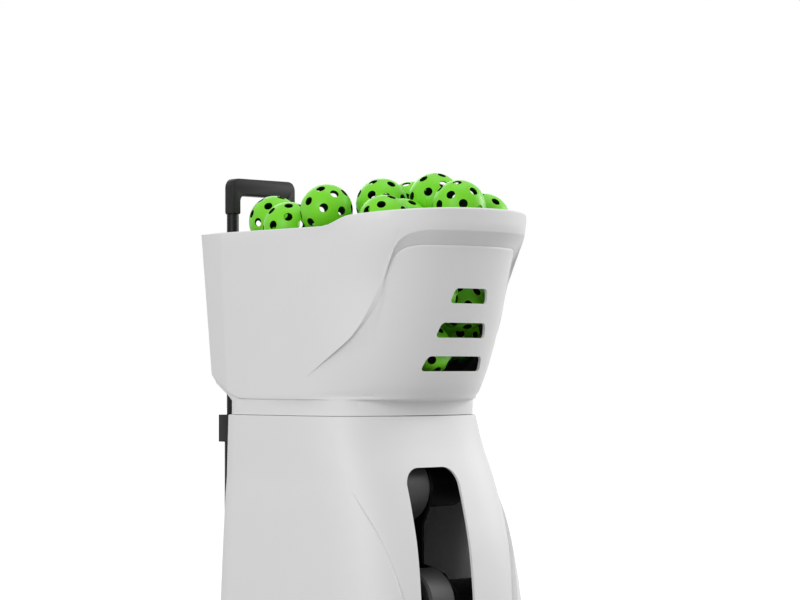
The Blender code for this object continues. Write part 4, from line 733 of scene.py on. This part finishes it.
def hopper_column(column):
    """One upright ring of the hopper wall: up the outside, over the rim and down the inside."""
    neck_out, neck_in = neck_half(0)[column], neck_half(-WALL)[column]
    base = bowl_point(column, UNDERSIDE_Z, 0)
    bottom = underside_z(base[1])
    high = max(shelf_z(column), bottom + SHELF_LEAST)
    top = rim_z(hopper_point(column, RIM_REAR_Z, True, 0)[1]) - RIM_ROUND
    start = bottom + FOOT_HEIGHT
    chamfer, fillet, corner = shelf_runs(column, high, high - start - FOOT_HEIGHT)
    low = high - chamfer - fillet

    def point(plan, z):
        return (plan[0], fwd(plan[1]), z)

    def under(share, z):
        return point(Vector(neck_out).lerp(Vector(base), share), z)

    def wall(heights, offset):
        return [point(wall_point(column, z, high, (chamfer, fillet, corner), offset), z) for z in heights]

    ring = [point(neck_out, z) for z in (SEAM_Z + SEAM_PLAY, SEAM_Z + NECK_LOW, NECK_TOP_Z - NECK_HIGH)]
    ring += [under(t, between(FLARE_Z, bottom - FLARE_DROP, t)) for t in NECK_SHARES]
    ring += [under(t, bottom + rise) for t, rise in FOOT_ROWS]
    heights = even_steps(start, low, ROWS_BELOW)[:-1]
    heights += [high - chamfer - fillet * t for t in reversed(FILLET_ROWS)]
    heights += [high - chamfer * t for t in reversed(EDGE_ROWS)]
    heights += [high, high + BAND_ROW] + even_steps(high + BAND_START, top, ROWS_ABOVE)
    ring += wall(heights, 0)
    for angle in RIM_ANGLES:
        turn = math.radians(angle)
        inwards = -WALL / 2 * (1 - math.cos(turn))
        ring.append(point(hopper_point(column, RIM_PLAN_Z, True, inwards), top + RIM_ROUND * math.sin(turn)))
    heights = even_steps(top, high + BAND_START, ROWS_INSIDE)
    heights += [high - chamfer * t for t in INSIDE_EDGE_ROWS]
    heights += [high - chamfer - fillet * t for t in INSIDE_FILLET_ROWS]
    ring += wall(heights + even_steps(low, start + INSIDE_FOOT, ROWS_INSIDE)[1:], -WALL)
    return ring + [point(neck_in, z) for z in (bottom + INSIDE_FLOOR, SEAM_Z + NECK_LOW, SEAM_Z + SEAM_PLAY)]


def mirror_columns(half_columns):
    """All columns round the casing from those with x >= 0."""
    return half_columns + [[(-x, y, z) for x, y, z in column] for column in reversed(half_columns[1:-1])]


hopper_columns = mirror_columns([hopper_column(c) for c in range(column_count)])
print("hopper grid:", len(hopper_columns), "columns of", len(hopper_columns[0]), "points")

# %% Hopper
EDGE_ANGLE = 34


def grid_mesh(name, columns):
    """A mesh from columns of points that go round the casing; each column is closed into a ring."""
    bm = bmesh.new()
    rings = [[bm.verts.new(point) for point in column] for column in columns]
    for left, right in zip(rings, rings[1:] + rings[:1]):
        for k in range(len(left)):
            n = (k + 1) % len(left)
            bm.faces.new((left[k], right[k], right[n], left[n]))
    bmesh.ops.recalc_face_normals(bm, faces=bm.faces)
    return finished_mesh(bm, name)


def shade(mesh, angle):
    """Shades a mesh smoothly, with hard edges where it bends more than an angle in degrees."""
    mesh.shade_smooth()
    mesh.set_sharp_from_angle(angle=math.radians(angle))


def new_piece(name, mesh, material, body, slot, *replaced, sharp=32):
    """A shaded object of a mesh that rides on a body and stands for CAD nodes."""
    shade(mesh, sharp)
    mesh.materials.append(material)
    obj = add_object(name, mesh)
    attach(obj, body)
    if replaced:
        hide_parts(*replaced)
    return obj


hopper_mesh = grid_mesh("hopper", hopper_columns)
hopper = new_piece("hopper", hopper_mesh, white_abs, "machine", "white_abs", "hopper_shell", sharp=EDGE_ANGLE)
print("hopper:", len(hopper_mesh.polygons), "faces")

# %% [markdown]
# ## Vents of the hopper
#
# Three vents in the front show the balls. Weaving them into the grid would spoil its flow, so a Boolean
# modifier punches them with a rounded outline. The result is kept as the piece's mesh, and the modifier
# and its cutter are removed. A Bevel modifier then rounds the razor-sharp edges of the openings.

# %% Cutting helpers


def rounded_rectangle(cx, cz, half_x, half_z, radius, steps=8, lean=0.0):
    """An outline with round corners; lean draws the top in and lets the bottom out."""
    points = []
    for sx, sz, start in ((1, 1, 0), (-1, 1, 90), (-1, -1, 180), (1, -1, 270)):
        for i in range(steps + 1):
            angle = math.radians(start + 90 * i / steps)
            x = sx * (half_x - radius) + radius * math.cos(angle)
            z = sz * (half_z - radius) + radius * math.sin(angle)
            points.append((cx + x * (1 - lean * z / (half_z * half_x)), cz + z))
    return points


def prism_mesh(name, outline, y_low, y_high):
    """An (x, z) outline extruded along y."""
    bm = bmesh.new()
    low = [bm.verts.new((x, y_low, z)) for x, z in outline]
    high = [bm.verts.new((x, y_high, z)) for x, z in outline]
    for i in range(len(outline)):
        j = (i + 1) % len(outline)
        bm.faces.new((low[i], low[j], high[j], high[i]))
    bm.faces.new(low)
    bm.faces.new(high)
    bmesh.ops.recalc_face_normals(bm, faces=bm.faces)
    return finished_mesh(bm, name)


def punch(obj, *cutter_meshes, sharp=40):
    """Cuts an object with meshes and keeps the result as its mesh."""
    for mesh in cutter_meshes:
        cutter = add_object("cutter", mesh)
        modifier = obj.modifiers.new("punch", "BOOLEAN")
        modifier.operation = "DIFFERENCE"
        modifier.object = cutter
        modifier.solver = "EXACT"
        bpy.context.view_layer.update()
        result = bpy.data.meshes.new_from_object(obj.evaluated_get(bpy.context.evaluated_depsgraph_get()))
        obj.modifiers.remove(modifier)
        obj.data = result
        bpy.data.objects.remove(cutter, do_unlink=True)
    shade(obj.data, sharp)


# %% Vents, each with its height and half its width
VENTS = ((0.745, 0.034), (0.698, 0.046), (0.652, 0.056))
VENT_HALF_HEIGHT, VENT_CORNER, VENT_LEAN = 0.01025, 0.006, 0.003
VENT_CUT = (fwd(0.50), fwd(0.32))
OPENING_RADIUS = 0.0009

vent_cutters = []
for z, half in VENTS:
    outline = rounded_rectangle(0, z, half, VENT_HALF_HEIGHT, VENT_CORNER, lean=VENT_LEAN)
    vent_cutters.append(prism_mesh("vent", outline, *VENT_CUT))
punch(hopper, *vent_cutters, sharp=EDGE_ANGLE)
round_edges(hopper, OPENING_RADIUS, segments=3, angle=60).harden_normals = True
print("hopper with vents:", len(hopper.data.polygons), "faces")

# %% [markdown]
# ## Painted shade inside the hopper
#
# Behind the vents the inside of the hopper lies deep in shade between the balls, and higher up it is lit
# and white. That shade is painted: a separate dark piece would need room, so the inner faces get a black
# second material up to a level line. The mesh is split along that line first, or the edge of the black
# would step from face to face.

# %% Painted shade inside the hopper
PAINTED_SHADE_TOP_Z = 0.768
ROTOR_FORWARD = 0.216
FACING = 0.5

bm = bmesh.new()
bm.from_mesh(hopper.data)
bmesh.ops.bisect_plane(bm, geom=bm.verts[:] + bm.edges[:] + bm.faces[:], plane_co=(0, 0, PAINTED_SHADE_TOP_Z),
                       plane_no=(0, 0, 1))
bm.to_mesh(hopper.data)
bm.free()
# The black nylon finish serves here as painted shade on the inner faces below the level line.
hopper.data.materials.append(black_nylon)
painted_shade_faces = 0
for face in hopper.data.polygons:
    outwards = Vector((face.center.x, face.center.y - fwd(ROTOR_FORWARD), 0)).normalized()
    if face.normal.dot(outwards) < -FACING and face.center.z < PAINTED_SHADE_TOP_Z:
        face.material_index = 1
        painted_shade_faces += 1
print("faces of the black lining:", painted_shade_faces)

# %% [markdown]
# ## The body
#
# The body's front is set back between two raised side panels. The panels' front edges are long soft
# creases that sweep forward towards the bottom and fade at the top. A crease that runs across the grid
# would look torn, so here the columns follow it: the same column lies on it at every height.

# %% Body sizes and grid
BODY_BOTTOM = 0.050
BODY_REAR = 0.0767
BODY_HALF_TOP, BODY_HALF_BOTTOM = 0.150, 0.168
BODY_ROUNDNESS = 3.2
BODY_FRONT = (
    (0.030, 0.4461), (0.190, 0.437), (0.318, 0.425), (0.393, 0.413), (0.455, 0.396), (0.497, 0.381),
    (0.538, 0.363), (0.580, 0.350))
PANEL_TOP_Z = 0.486
PANEL_RISE, PANEL_FADE = 0.010, 0.6
PANEL_EDGE = ((0.050, 0.088), (0.318, 0.108), (0.393, 0.121), (0.458, 0.137), (0.486, 0.143))
PANEL_STEPS, CORE_STEPS = 18, 26
CREASE_SOFTNESS, CREASE_LIMIT = 0.010, 0.999
LIP_PLAY, LIP_ROUND, LIP_HEIGHT = 0.0003, 0.0012, 0.001
BODY_ROWS = 60
BODY_LEVELS = even_steps(BODY_BOTTOM, SEAM_Z - LIP_HEIGHT, BODY_ROWS)


def panel_rise(z):
    """How far the side panels stand out of the body at a height."""
    return PANEL_RISE * max(0.0, (PANEL_TOP_Z - z) / (PANEL_TOP_Z - BODY_BOTTOM)) ** PANEL_FADE


def body_half(z, inwards):
    """Half plan of the body with the crease on a fixed column."""
    half = between(BODY_HALF_TOP, BODY_HALF_BOTTOM, (SEAM_Z - z) / (SEAM_Z - BODY_BOTTOM))
    front = along(BODY_FRONT, z)
    crease = math.acos(min(CREASE_LIMIT, (along(PANEL_EDGE, z) / half) ** (BODY_ROUNDNESS / 2)))
    panel = even_steps(0, crease - CREASE_SOFTNESS, PANEL_STEPS)
    core = even_steps(crease + CREASE_SOFTNESS, math.pi / 2, CORE_STEPS)

    def plan(offset, angles):
        return round_cornered_half(half + offset, BODY_REAR + inwards, front + offset, BODY_ROUNDNESS, angles)

    return plan(panel_rise(z) - inwards, panel) + plan(-inwards, core)[-len(core):]


def body_rings():
    """Columns of the body wall: up the outside, in over the top and down the inside."""
    levels = [(body_half(z, 0), z) for z in BODY_LEVELS]
    levels += [(body_half(SEAM_Z, inwards), SEAM_Z - LIP_PLAY) for inwards in (LIP_ROUND, WALL)]
    levels += [(body_half(z, WALL), z) for z in reversed(BODY_LEVELS)]
    return [[(plan[c][0], fwd(plan[c][1]), z) for plan, z in levels] for c in range(len(levels[0][0]))]


body_columns = mirror_columns(body_rings())
body = new_piece("body", grid_mesh("body", body_columns), white_abs, "machine", "white_abs", "body_shell",
                 sharp=40)
print("body:", len(body_columns), "columns,", len(body.data.polygons), "faces")

# %% [markdown]
# ## Slot and rear opening
#
# The balls leave through a tall slot with round corners, which leans a little and lies beside the
# middle. At the rear the works are reached through an opening under the rear cover, whose edge hides its
# corners, so it can be a plain rectangle. Both are punched as the vents are.

# %% Openings of the body
SLOT_X = -0.032
SLOT_SLANT = 0.061
SLOT_HALF_WIDTH = 0.050
SLOT_TOP_Z, SLOT_BOTTOM_Z = 0.509, 0.172
SLOT_CORNER = 0.026
SLOT_CUT = (fwd(0.47), fwd(0.30))
REAR_OPENING_HALF = 0.098
REAR_OPENING_MARGIN = 0.030
REAR_CUT = (fwd(0.100), fwd(0.02))

slot_z = (SLOT_TOP_Z + SLOT_BOTTOM_Z) / 2
slot_half = (SLOT_TOP_Z - SLOT_BOTTOM_Z) / 2
upright = rounded_rectangle(SLOT_X, slot_z, SLOT_HALF_WIDTH, slot_half, SLOT_CORNER, 12)
slot_outline = [(x + SLOT_SLANT * (z - slot_z), z) for x, z in upright]
low, high = BODY_BOTTOM + REAR_OPENING_MARGIN, SEAM_Z - REAR_OPENING_MARGIN
rear_outline = [(side * REAR_OPENING_HALF, z) for side, z in ((-1, low), (1, low), (1, high), (-1, high))]
punch(body, prism_mesh("slot", slot_outline, *SLOT_CUT), prism_mesh("rear", rear_outline, *REAR_CUT))
round_edges(body, OPENING_RADIUS, segments=3, angle=60).harden_normals = True
print("body with openings:", len(body.data.polygons), "faces")

# %% [markdown]
# ## One ball
#
# A ball is a hollow sphere, 74 mm across, with 26 round holes in rows of five and eight. Black dots on
# a solid ball would look flat close up, so the holes are real: two shells, one inside the other, are
# punched by 26 short rods. Only one ball is made like this, because all of them are alike.

# %% One perforated ball; each row of holes has its latitude, its number of holes and a shift
BALL_RADIUS = 0.037
BALL_WALL = 0.0017
HOLE_RADIUS = 0.0062
DRILL_LENGTH = 0.012
HOLE_ROWS = ((21, 8, 0.0), (60, 5, 0.4), (-21, 8, 0.5), (-60, 5, 0.1))

bm = bmesh.new()
bmesh.ops.create_icosphere(bm, subdivisions=4, radius=BALL_RADIUS)
hollow = bmesh.ops.create_icosphere(bm, subdivisions=3, radius=BALL_RADIUS - BALL_WALL)["verts"]
bmesh.ops.reverse_faces(bm, faces=list({face for vert in hollow for face in vert.link_faces}))
one_ball = add_object("one_ball", finished_mesh(bm, "ball"))

bm = bmesh.new()
lie = Matrix.Rotation(math.radians(90), 4, "Y")
for latitude, count, shift in HOLE_ROWS:
    lean = Matrix.Rotation(-math.radians(latitude), 4, "Y")
    for i in range(count):
        turn = Matrix.Rotation(2 * math.pi * (i + shift) / count, 4, "Z")
        bmesh.ops.create_cone(
            bm, cap_ends=True, segments=20, radius1=HOLE_RADIUS, radius2=HOLE_RADIUS, depth=DRILL_LENGTH,
            matrix=turn @ lean @ Matrix.Translation((BALL_RADIUS, 0, 0)) @ lie)
punch(one_ball, finished_mesh(bm, "drill"), sharp=50)
ball_mesh = one_ball.data
ball_mesh.materials.append(ball_plastic)
ball_mesh.materials.append(painted_shade_inside)
# Faces that look inwards get the dark green of painted shade.
for face in ball_mesh.polygons:
    if face.normal.dot(face.center.normalized()) < FACING:
        face.material_index = 1
bpy.data.objects.remove(one_ball, do_unlink=True)
print("one ball:", len(ball_mesh.polygons), "faces")

# %% [markdown]
# ## The load of balls
#
# The balls lie on the rotor's cone and the funnel in loose layers, with some above the rim. A physics
# simulation could drop them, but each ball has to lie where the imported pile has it. So the pile's own
# rule is used again: balls of a staggered grid are dropped straight down one by one until they rest.
# The ones that show through the vents or above the rim have places of their own.

# %% Where the balls lie, as across, forward and height
GAP = 0.0003
ROTOR_RADIUS = 0.118
ROTOR_HEIGHT, ROTOR_CONE = 0.040, 0.018
FLOOR_DROP, FLOOR_THICKNESS = 0.0015, 0.004
FLOOR_TOP_Z = UNDERSIDE_Z - FLOOR_DROP + FLOOR_THICKNESS
CONE_TOP_Z = FLOOR_TOP_Z + 2 * GAP + ROTOR_HEIGHT + ROTOR_CONE
FUNNEL_LOW_Z = 0.615
BALL_SPARE = 0.002
BALL_FIRST_ROW, ROW_PITCH, LAYER_SHIFT, COLUMN_SHIFT = 0.086, 0.93, 0.3, 0.25
BALL_WALL_ROOM, BALL_FRONT_DROP = 0.004, 0.020
BALL_REAR_LIMIT, BALL_TOP_LIMIT = 0.066, 0.830
BALL_ROTOR_RIM, BALL_FUNNEL_LIFT, BALL_ROTOR_LIFT = 0.030, 0.012, 0.001
FREE_CORNER_X, FREE_CORNER_FORWARD = 0.035, 0.170
PART_BOWL_FRONT = BOWL_FRONT[:-1] + ((0.833, 0.468),)
PART_BOWL_ARC = BOWL_ARC[:4] + ((0.815, 0.140), (0.833, BAND_ARC))
VENT_BALLS = (
    (-0.0180, 0.3635, 0.6712), (-0.0280, 0.3843, 0.7458), (0.0460, 0.3726, 0.7345), (0.0942, 0.3120, 0.6906))
TOP_BALLS = (
    (-0.0612, 0.0989, 0.8583), (-0.0970, 0.1690, 0.8448), (-0.0905, 0.2396, 0.8668),
    (-0.0146, 0.2734, 0.8770), (-0.1040, 0.3688, 0.8450), (-0.0372, 0.3378, 0.8447),
    (0.0606, 0.2566, 0.8774), (0.0272, 0.3372, 0.8835), (-0.0134, 0.4226, 0.8670), (0.0583, 0.4023, 0.8528))


def straight_along(stations, z):
    """A value that runs straight through stations of (height, value)."""
    for (z0, v0), (z1, v1) in zip(stations, stations[1:]):
        if z <= z1:
            return v0 + (v1 - v0) * max(0.0, z - z0) / (z1 - z0)
    return stations[-1][1]


def in_hopper(x, f, z):
    """Whether a ball at a place is clear of the hopper's wall."""
    half = SIDE_HALF_BOTTOM - WALL - BALL_RADIUS - BALL_WALL_ROOM
    front = straight_along(PART_BOWL_FRONT, z - BALL_FRONT_DROP) - WALL - BALL_RADIUS - BALL_WALL_ROOM
    length = straight_along(PART_BOWL_ARC, z) - BALL_RADIUS
    ahead = max(0.0, f - (front - length)) / length
    return f > BALL_REAR_LIMIT and abs(x) < half and ahead ** 2 + (x / (half + BALL_SPARE)) ** 2 < 1


def rest_height(x, f, placed):
    """The height at which a ball rests on the rotor, the funnel or the balls below it."""
    room = 2 * BALL_RADIUS + GAP
    reach = math.hypot(x, f - ROTOR_FORWARD)
    if reach < ROTOR_RADIUS + BALL_ROTOR_RIM:
        z = FLOOR_TOP_Z + GAP + 3 * BALL_RADIUS + BALL_ROTOR_LIFT
    else:
        z = FUNNEL_LOW_Z + (reach - ROTOR_RADIUS) + BALL_RADIUS + BALL_FUNNEL_LIFT
    for bx, bf, bz in placed:
        flat = (x - bx) ** 2 + (f - bf) ** 2
        if flat < room ** 2:
            z = max(z, bz + math.sqrt(room ** 2 - flat))
    return z


def ball_places():
    """Centres of the load of balls, each dropped straight down until it rests."""
    placed = [(0.0, ROTOR_FORWARD, CONE_TOP_Z + GAP + BALL_RADIUS)] + list(VENT_BALLS)
    spacing = 2 * BALL_RADIUS + BALL_SPARE
    for layer in range(3):
        for row in range(5):
            f = BALL_FIRST_ROW + LAYER_SHIFT * spacing * (layer % 2) + row * spacing * ROW_PITCH
            for column in range(-2, 3):
                x = (column - COLUMN_SHIFT + 0.5 * ((row + layer) % 2)) * spacing
                z = rest_height(x, f, placed)
                free_corner = x > FREE_CORNER_X and f < FREE_CORNER_FORWARD
                under = all(math.dist((x, f, z), top) > 2 * BALL_RADIUS + GAP for top in TOP_BALLS)
                if in_hopper(x, f, z) and z < BALL_TOP_LIMIT and under and not free_corner:
                    placed.append((x, f, z))
    return placed + list(TOP_BALLS)


places = ball_places()
print("balls in the hopper:", len(places))

# %% [markdown]
# Objects that share one mesh would be light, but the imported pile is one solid, and one piece stands for
# it. So the ball's mesh is copied to each place and joined. Every copy is turned by steps that never
# line up, so the holes lie elsewhere on each ball, and in the same way each time.

# %% Load of balls
BALL_TURNS = {"Z": 2.4, "X": 1.1, "Y": 0.7}

bm = bmesh.new()
for number, (x, f, z) in enumerate(places):
    turn = Matrix.Identity(4)
    for axis, step in BALL_TURNS.items():
        turn = turn @ Matrix.Rotation(number * step, 4, axis)
    copy = ball_mesh.copy()
    copy.transform(Matrix.Translation((x, fwd(f), z)) @ turn)
    bm.from_mesh(copy)
    bpy.data.meshes.remove(copy)
balls = new_piece("balls", finished_mesh(bm, "balls"), ball_plastic, "machine", "green_plastic", "ball_pile",
                  sharp=50)
balls.data.materials.append(painted_shade_inside)
print("balls:", len(places), "faces:", len(balls.data.polygons))

# %% [markdown]
# ## Screws of the rear cover
#
# The rear cover is held by six pan-head screws. A picture of a screw would be flat. A real head is turned
# about its axis, and the mesh is made the same way: a profile goes round the axis, and a cross recess
# for the driver is punched into each head.

# %% Cover screws
COVER_REAR_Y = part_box("rear_cover")[1][1]
SCREW_X = 0.092
SCREW_HEIGHTS = (0.085, 0.320, 0.555)
SCREW_SEGMENTS = 24
SCREW_RADIUS = 0.0036
SCREW_HEIGHT = 0.0022
SCREW_PROFILE = ((0.0, 0.0), (SCREW_RADIUS, 0.0), (SCREW_RADIUS, 0.0008), (SCREW_RADIUS - 0.0006, 0.0016),
                 (SCREW_RADIUS - 0.0016, SCREW_HEIGHT), (0.0, SCREW_HEIGHT))
RECESS_REACH, RECESS_HALF_WIDTH = 0.0019, 0.0005
RECESS_BOTTOM, RECESS_TOP = 0.0011, 0.0040
SINK = 0.0001


def add_screw(bm, centre):
    """Adds a screw head whose axis runs along y, turned from its profile of (radius, y)."""
    rings = []
    for radius, y in SCREW_PROFILE:
        angles = [2 * math.pi * i / SCREW_SEGMENTS for i in range(SCREW_SEGMENTS if radius > 0 else 1)]
        rings.append([bm.verts.new((centre[0] + radius * math.cos(angle), centre[1] + y,
                                    centre[2] + radius * math.sin(angle))) for angle in angles])
    for first, second in zip(rings, rings[1:]):
        for i in range(SCREW_SEGMENTS):
            corners = [first[i % len(first)], first[(i + 1) % len(first)],
                       second[(i + 1) % len(second)], second[i % len(second)]]
            bm.faces.new(list(dict.fromkeys(corners)))


def cross_outline(cx, cz, reach, width):
    """The twelve corners of an upright cross."""
    return [(cx + a * x - b * z, cz + b * x + a * z) for a, b in ((1, 0), (0, 1), (-1, 0), (0, -1))
            for x, z in ((reach, width), (width, width), (width, reach))]


screw_places = [(side * SCREW_X, COVER_REAR_Y - SINK, z) for side in (-1, 1) for z in SCREW_HEIGHTS]
bm = bmesh.new()
for centre in screw_places:
    add_screw(bm, centre)
bmesh.ops.recalc_face_normals(bm, faces=bm.faces)
screws = new_piece("cover_screws", finished_mesh(bm, "cover_screws"), zinc_plate, "machine", "zinc_steel")
recesses = [prism_mesh("cross", cross_outline(x, z, RECESS_REACH, RECESS_HALF_WIDTH),
                       y + RECESS_BOTTOM, y + RECESS_TOP) for x, y, z in screw_places]
punch(screws, *recesses, sharp=30)
print("screws:", len(screw_places), "faces:", len(screws.data.polygons))

# %% [markdown]
# ## Scale and pointer of the speed knob
#
# The speed knob carries a white pointer over a scale of eleven lines, every fifth one longer. A material
# could paint the lines, but a thin raised moulding has a crisp edge at any distance. Each line is a bar
# with round ends, turned about the knob's axis. The pointer rides on the knob.

# %% Speed scale
PANEL_REAR_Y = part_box("control_panel")[1][1]
KNOB_LOW, KNOB_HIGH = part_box("speed_knob")
KNOB_Z = (KNOB_LOW[2] + KNOB_HIGH[2]) / 2
TICK_COUNT, TICK_STEP, FIRST_TICK = 11, 27, -135
TICK_CIRCLE, TICK_HALF_WIDTH = 0.0175, 0.0004
TICK_HALF, LONG_TICK_HALF = 0.0016, 0.0024
TICK_RISE = 0.0002
POINTER_CIRCLE, POINTER_HALF, POINTER_HALF_WIDTH = 0.0075, 0.0032, 0.0006
POINTER_SINK, POINTER_RISE = 0.0002, 0.0003


def knob_bar(distance, half_length, half_width, degrees=0):
    """A bar with round ends at a distance from the knob's axis, turned by an angle from the top."""
    turn = Matrix.Rotation(math.radians(degrees), 2)
    bar = rounded_rectangle(0, distance, half_width, half_length, half_width, 3)
    return [(x, KNOB_Z + z) for x, z in (turn @ Vector(point) for point in bar)]


def raised_marks(name, outlines, y_low, y_high, material, body, slot):
    """Thin raised mouldings in one mesh, each from an (x, z) outline."""
    bm = bmesh.new()
    for outline in outlines:
        part = prism_mesh("mark", outline, y_low, y_high)
        bm.from_mesh(part)
        bpy.data.meshes.remove(part)
    return new_piece(name, finished_mesh(bm, name), material, body, slot)


ticks = []
for i in range(TICK_COUNT):
    half_length = TICK_HALF if i % 5 else LONG_TICK_HALF
    ticks.append(knob_bar(TICK_CIRCLE, half_length, TICK_HALF_WIDTH, TICK_STEP * i + FIRST_TICK))
pointer = knob_bar(POINTER_CIRCLE, POINTER_HALF, POINTER_HALF_WIDTH)
raised_marks("speed_ticks", ticks, PANEL_REAR_Y - SINK, PANEL_REAR_Y + TICK_RISE,
             button_plastic, "machine", "grey_abs")
raised_marks("knob_pointer", [pointer], KNOB_HIGH[1] - POINTER_SINK, KNOB_HIGH[1] + POINTER_RISE,
             white_abs, "speed_knob", "white_abs")
print("speed ticks:", len(ticks))

# %% [markdown]
# ## Finish
#
# At the end the scene is brought up to date.

# %% Finish
bpy.context.view_layer.update()
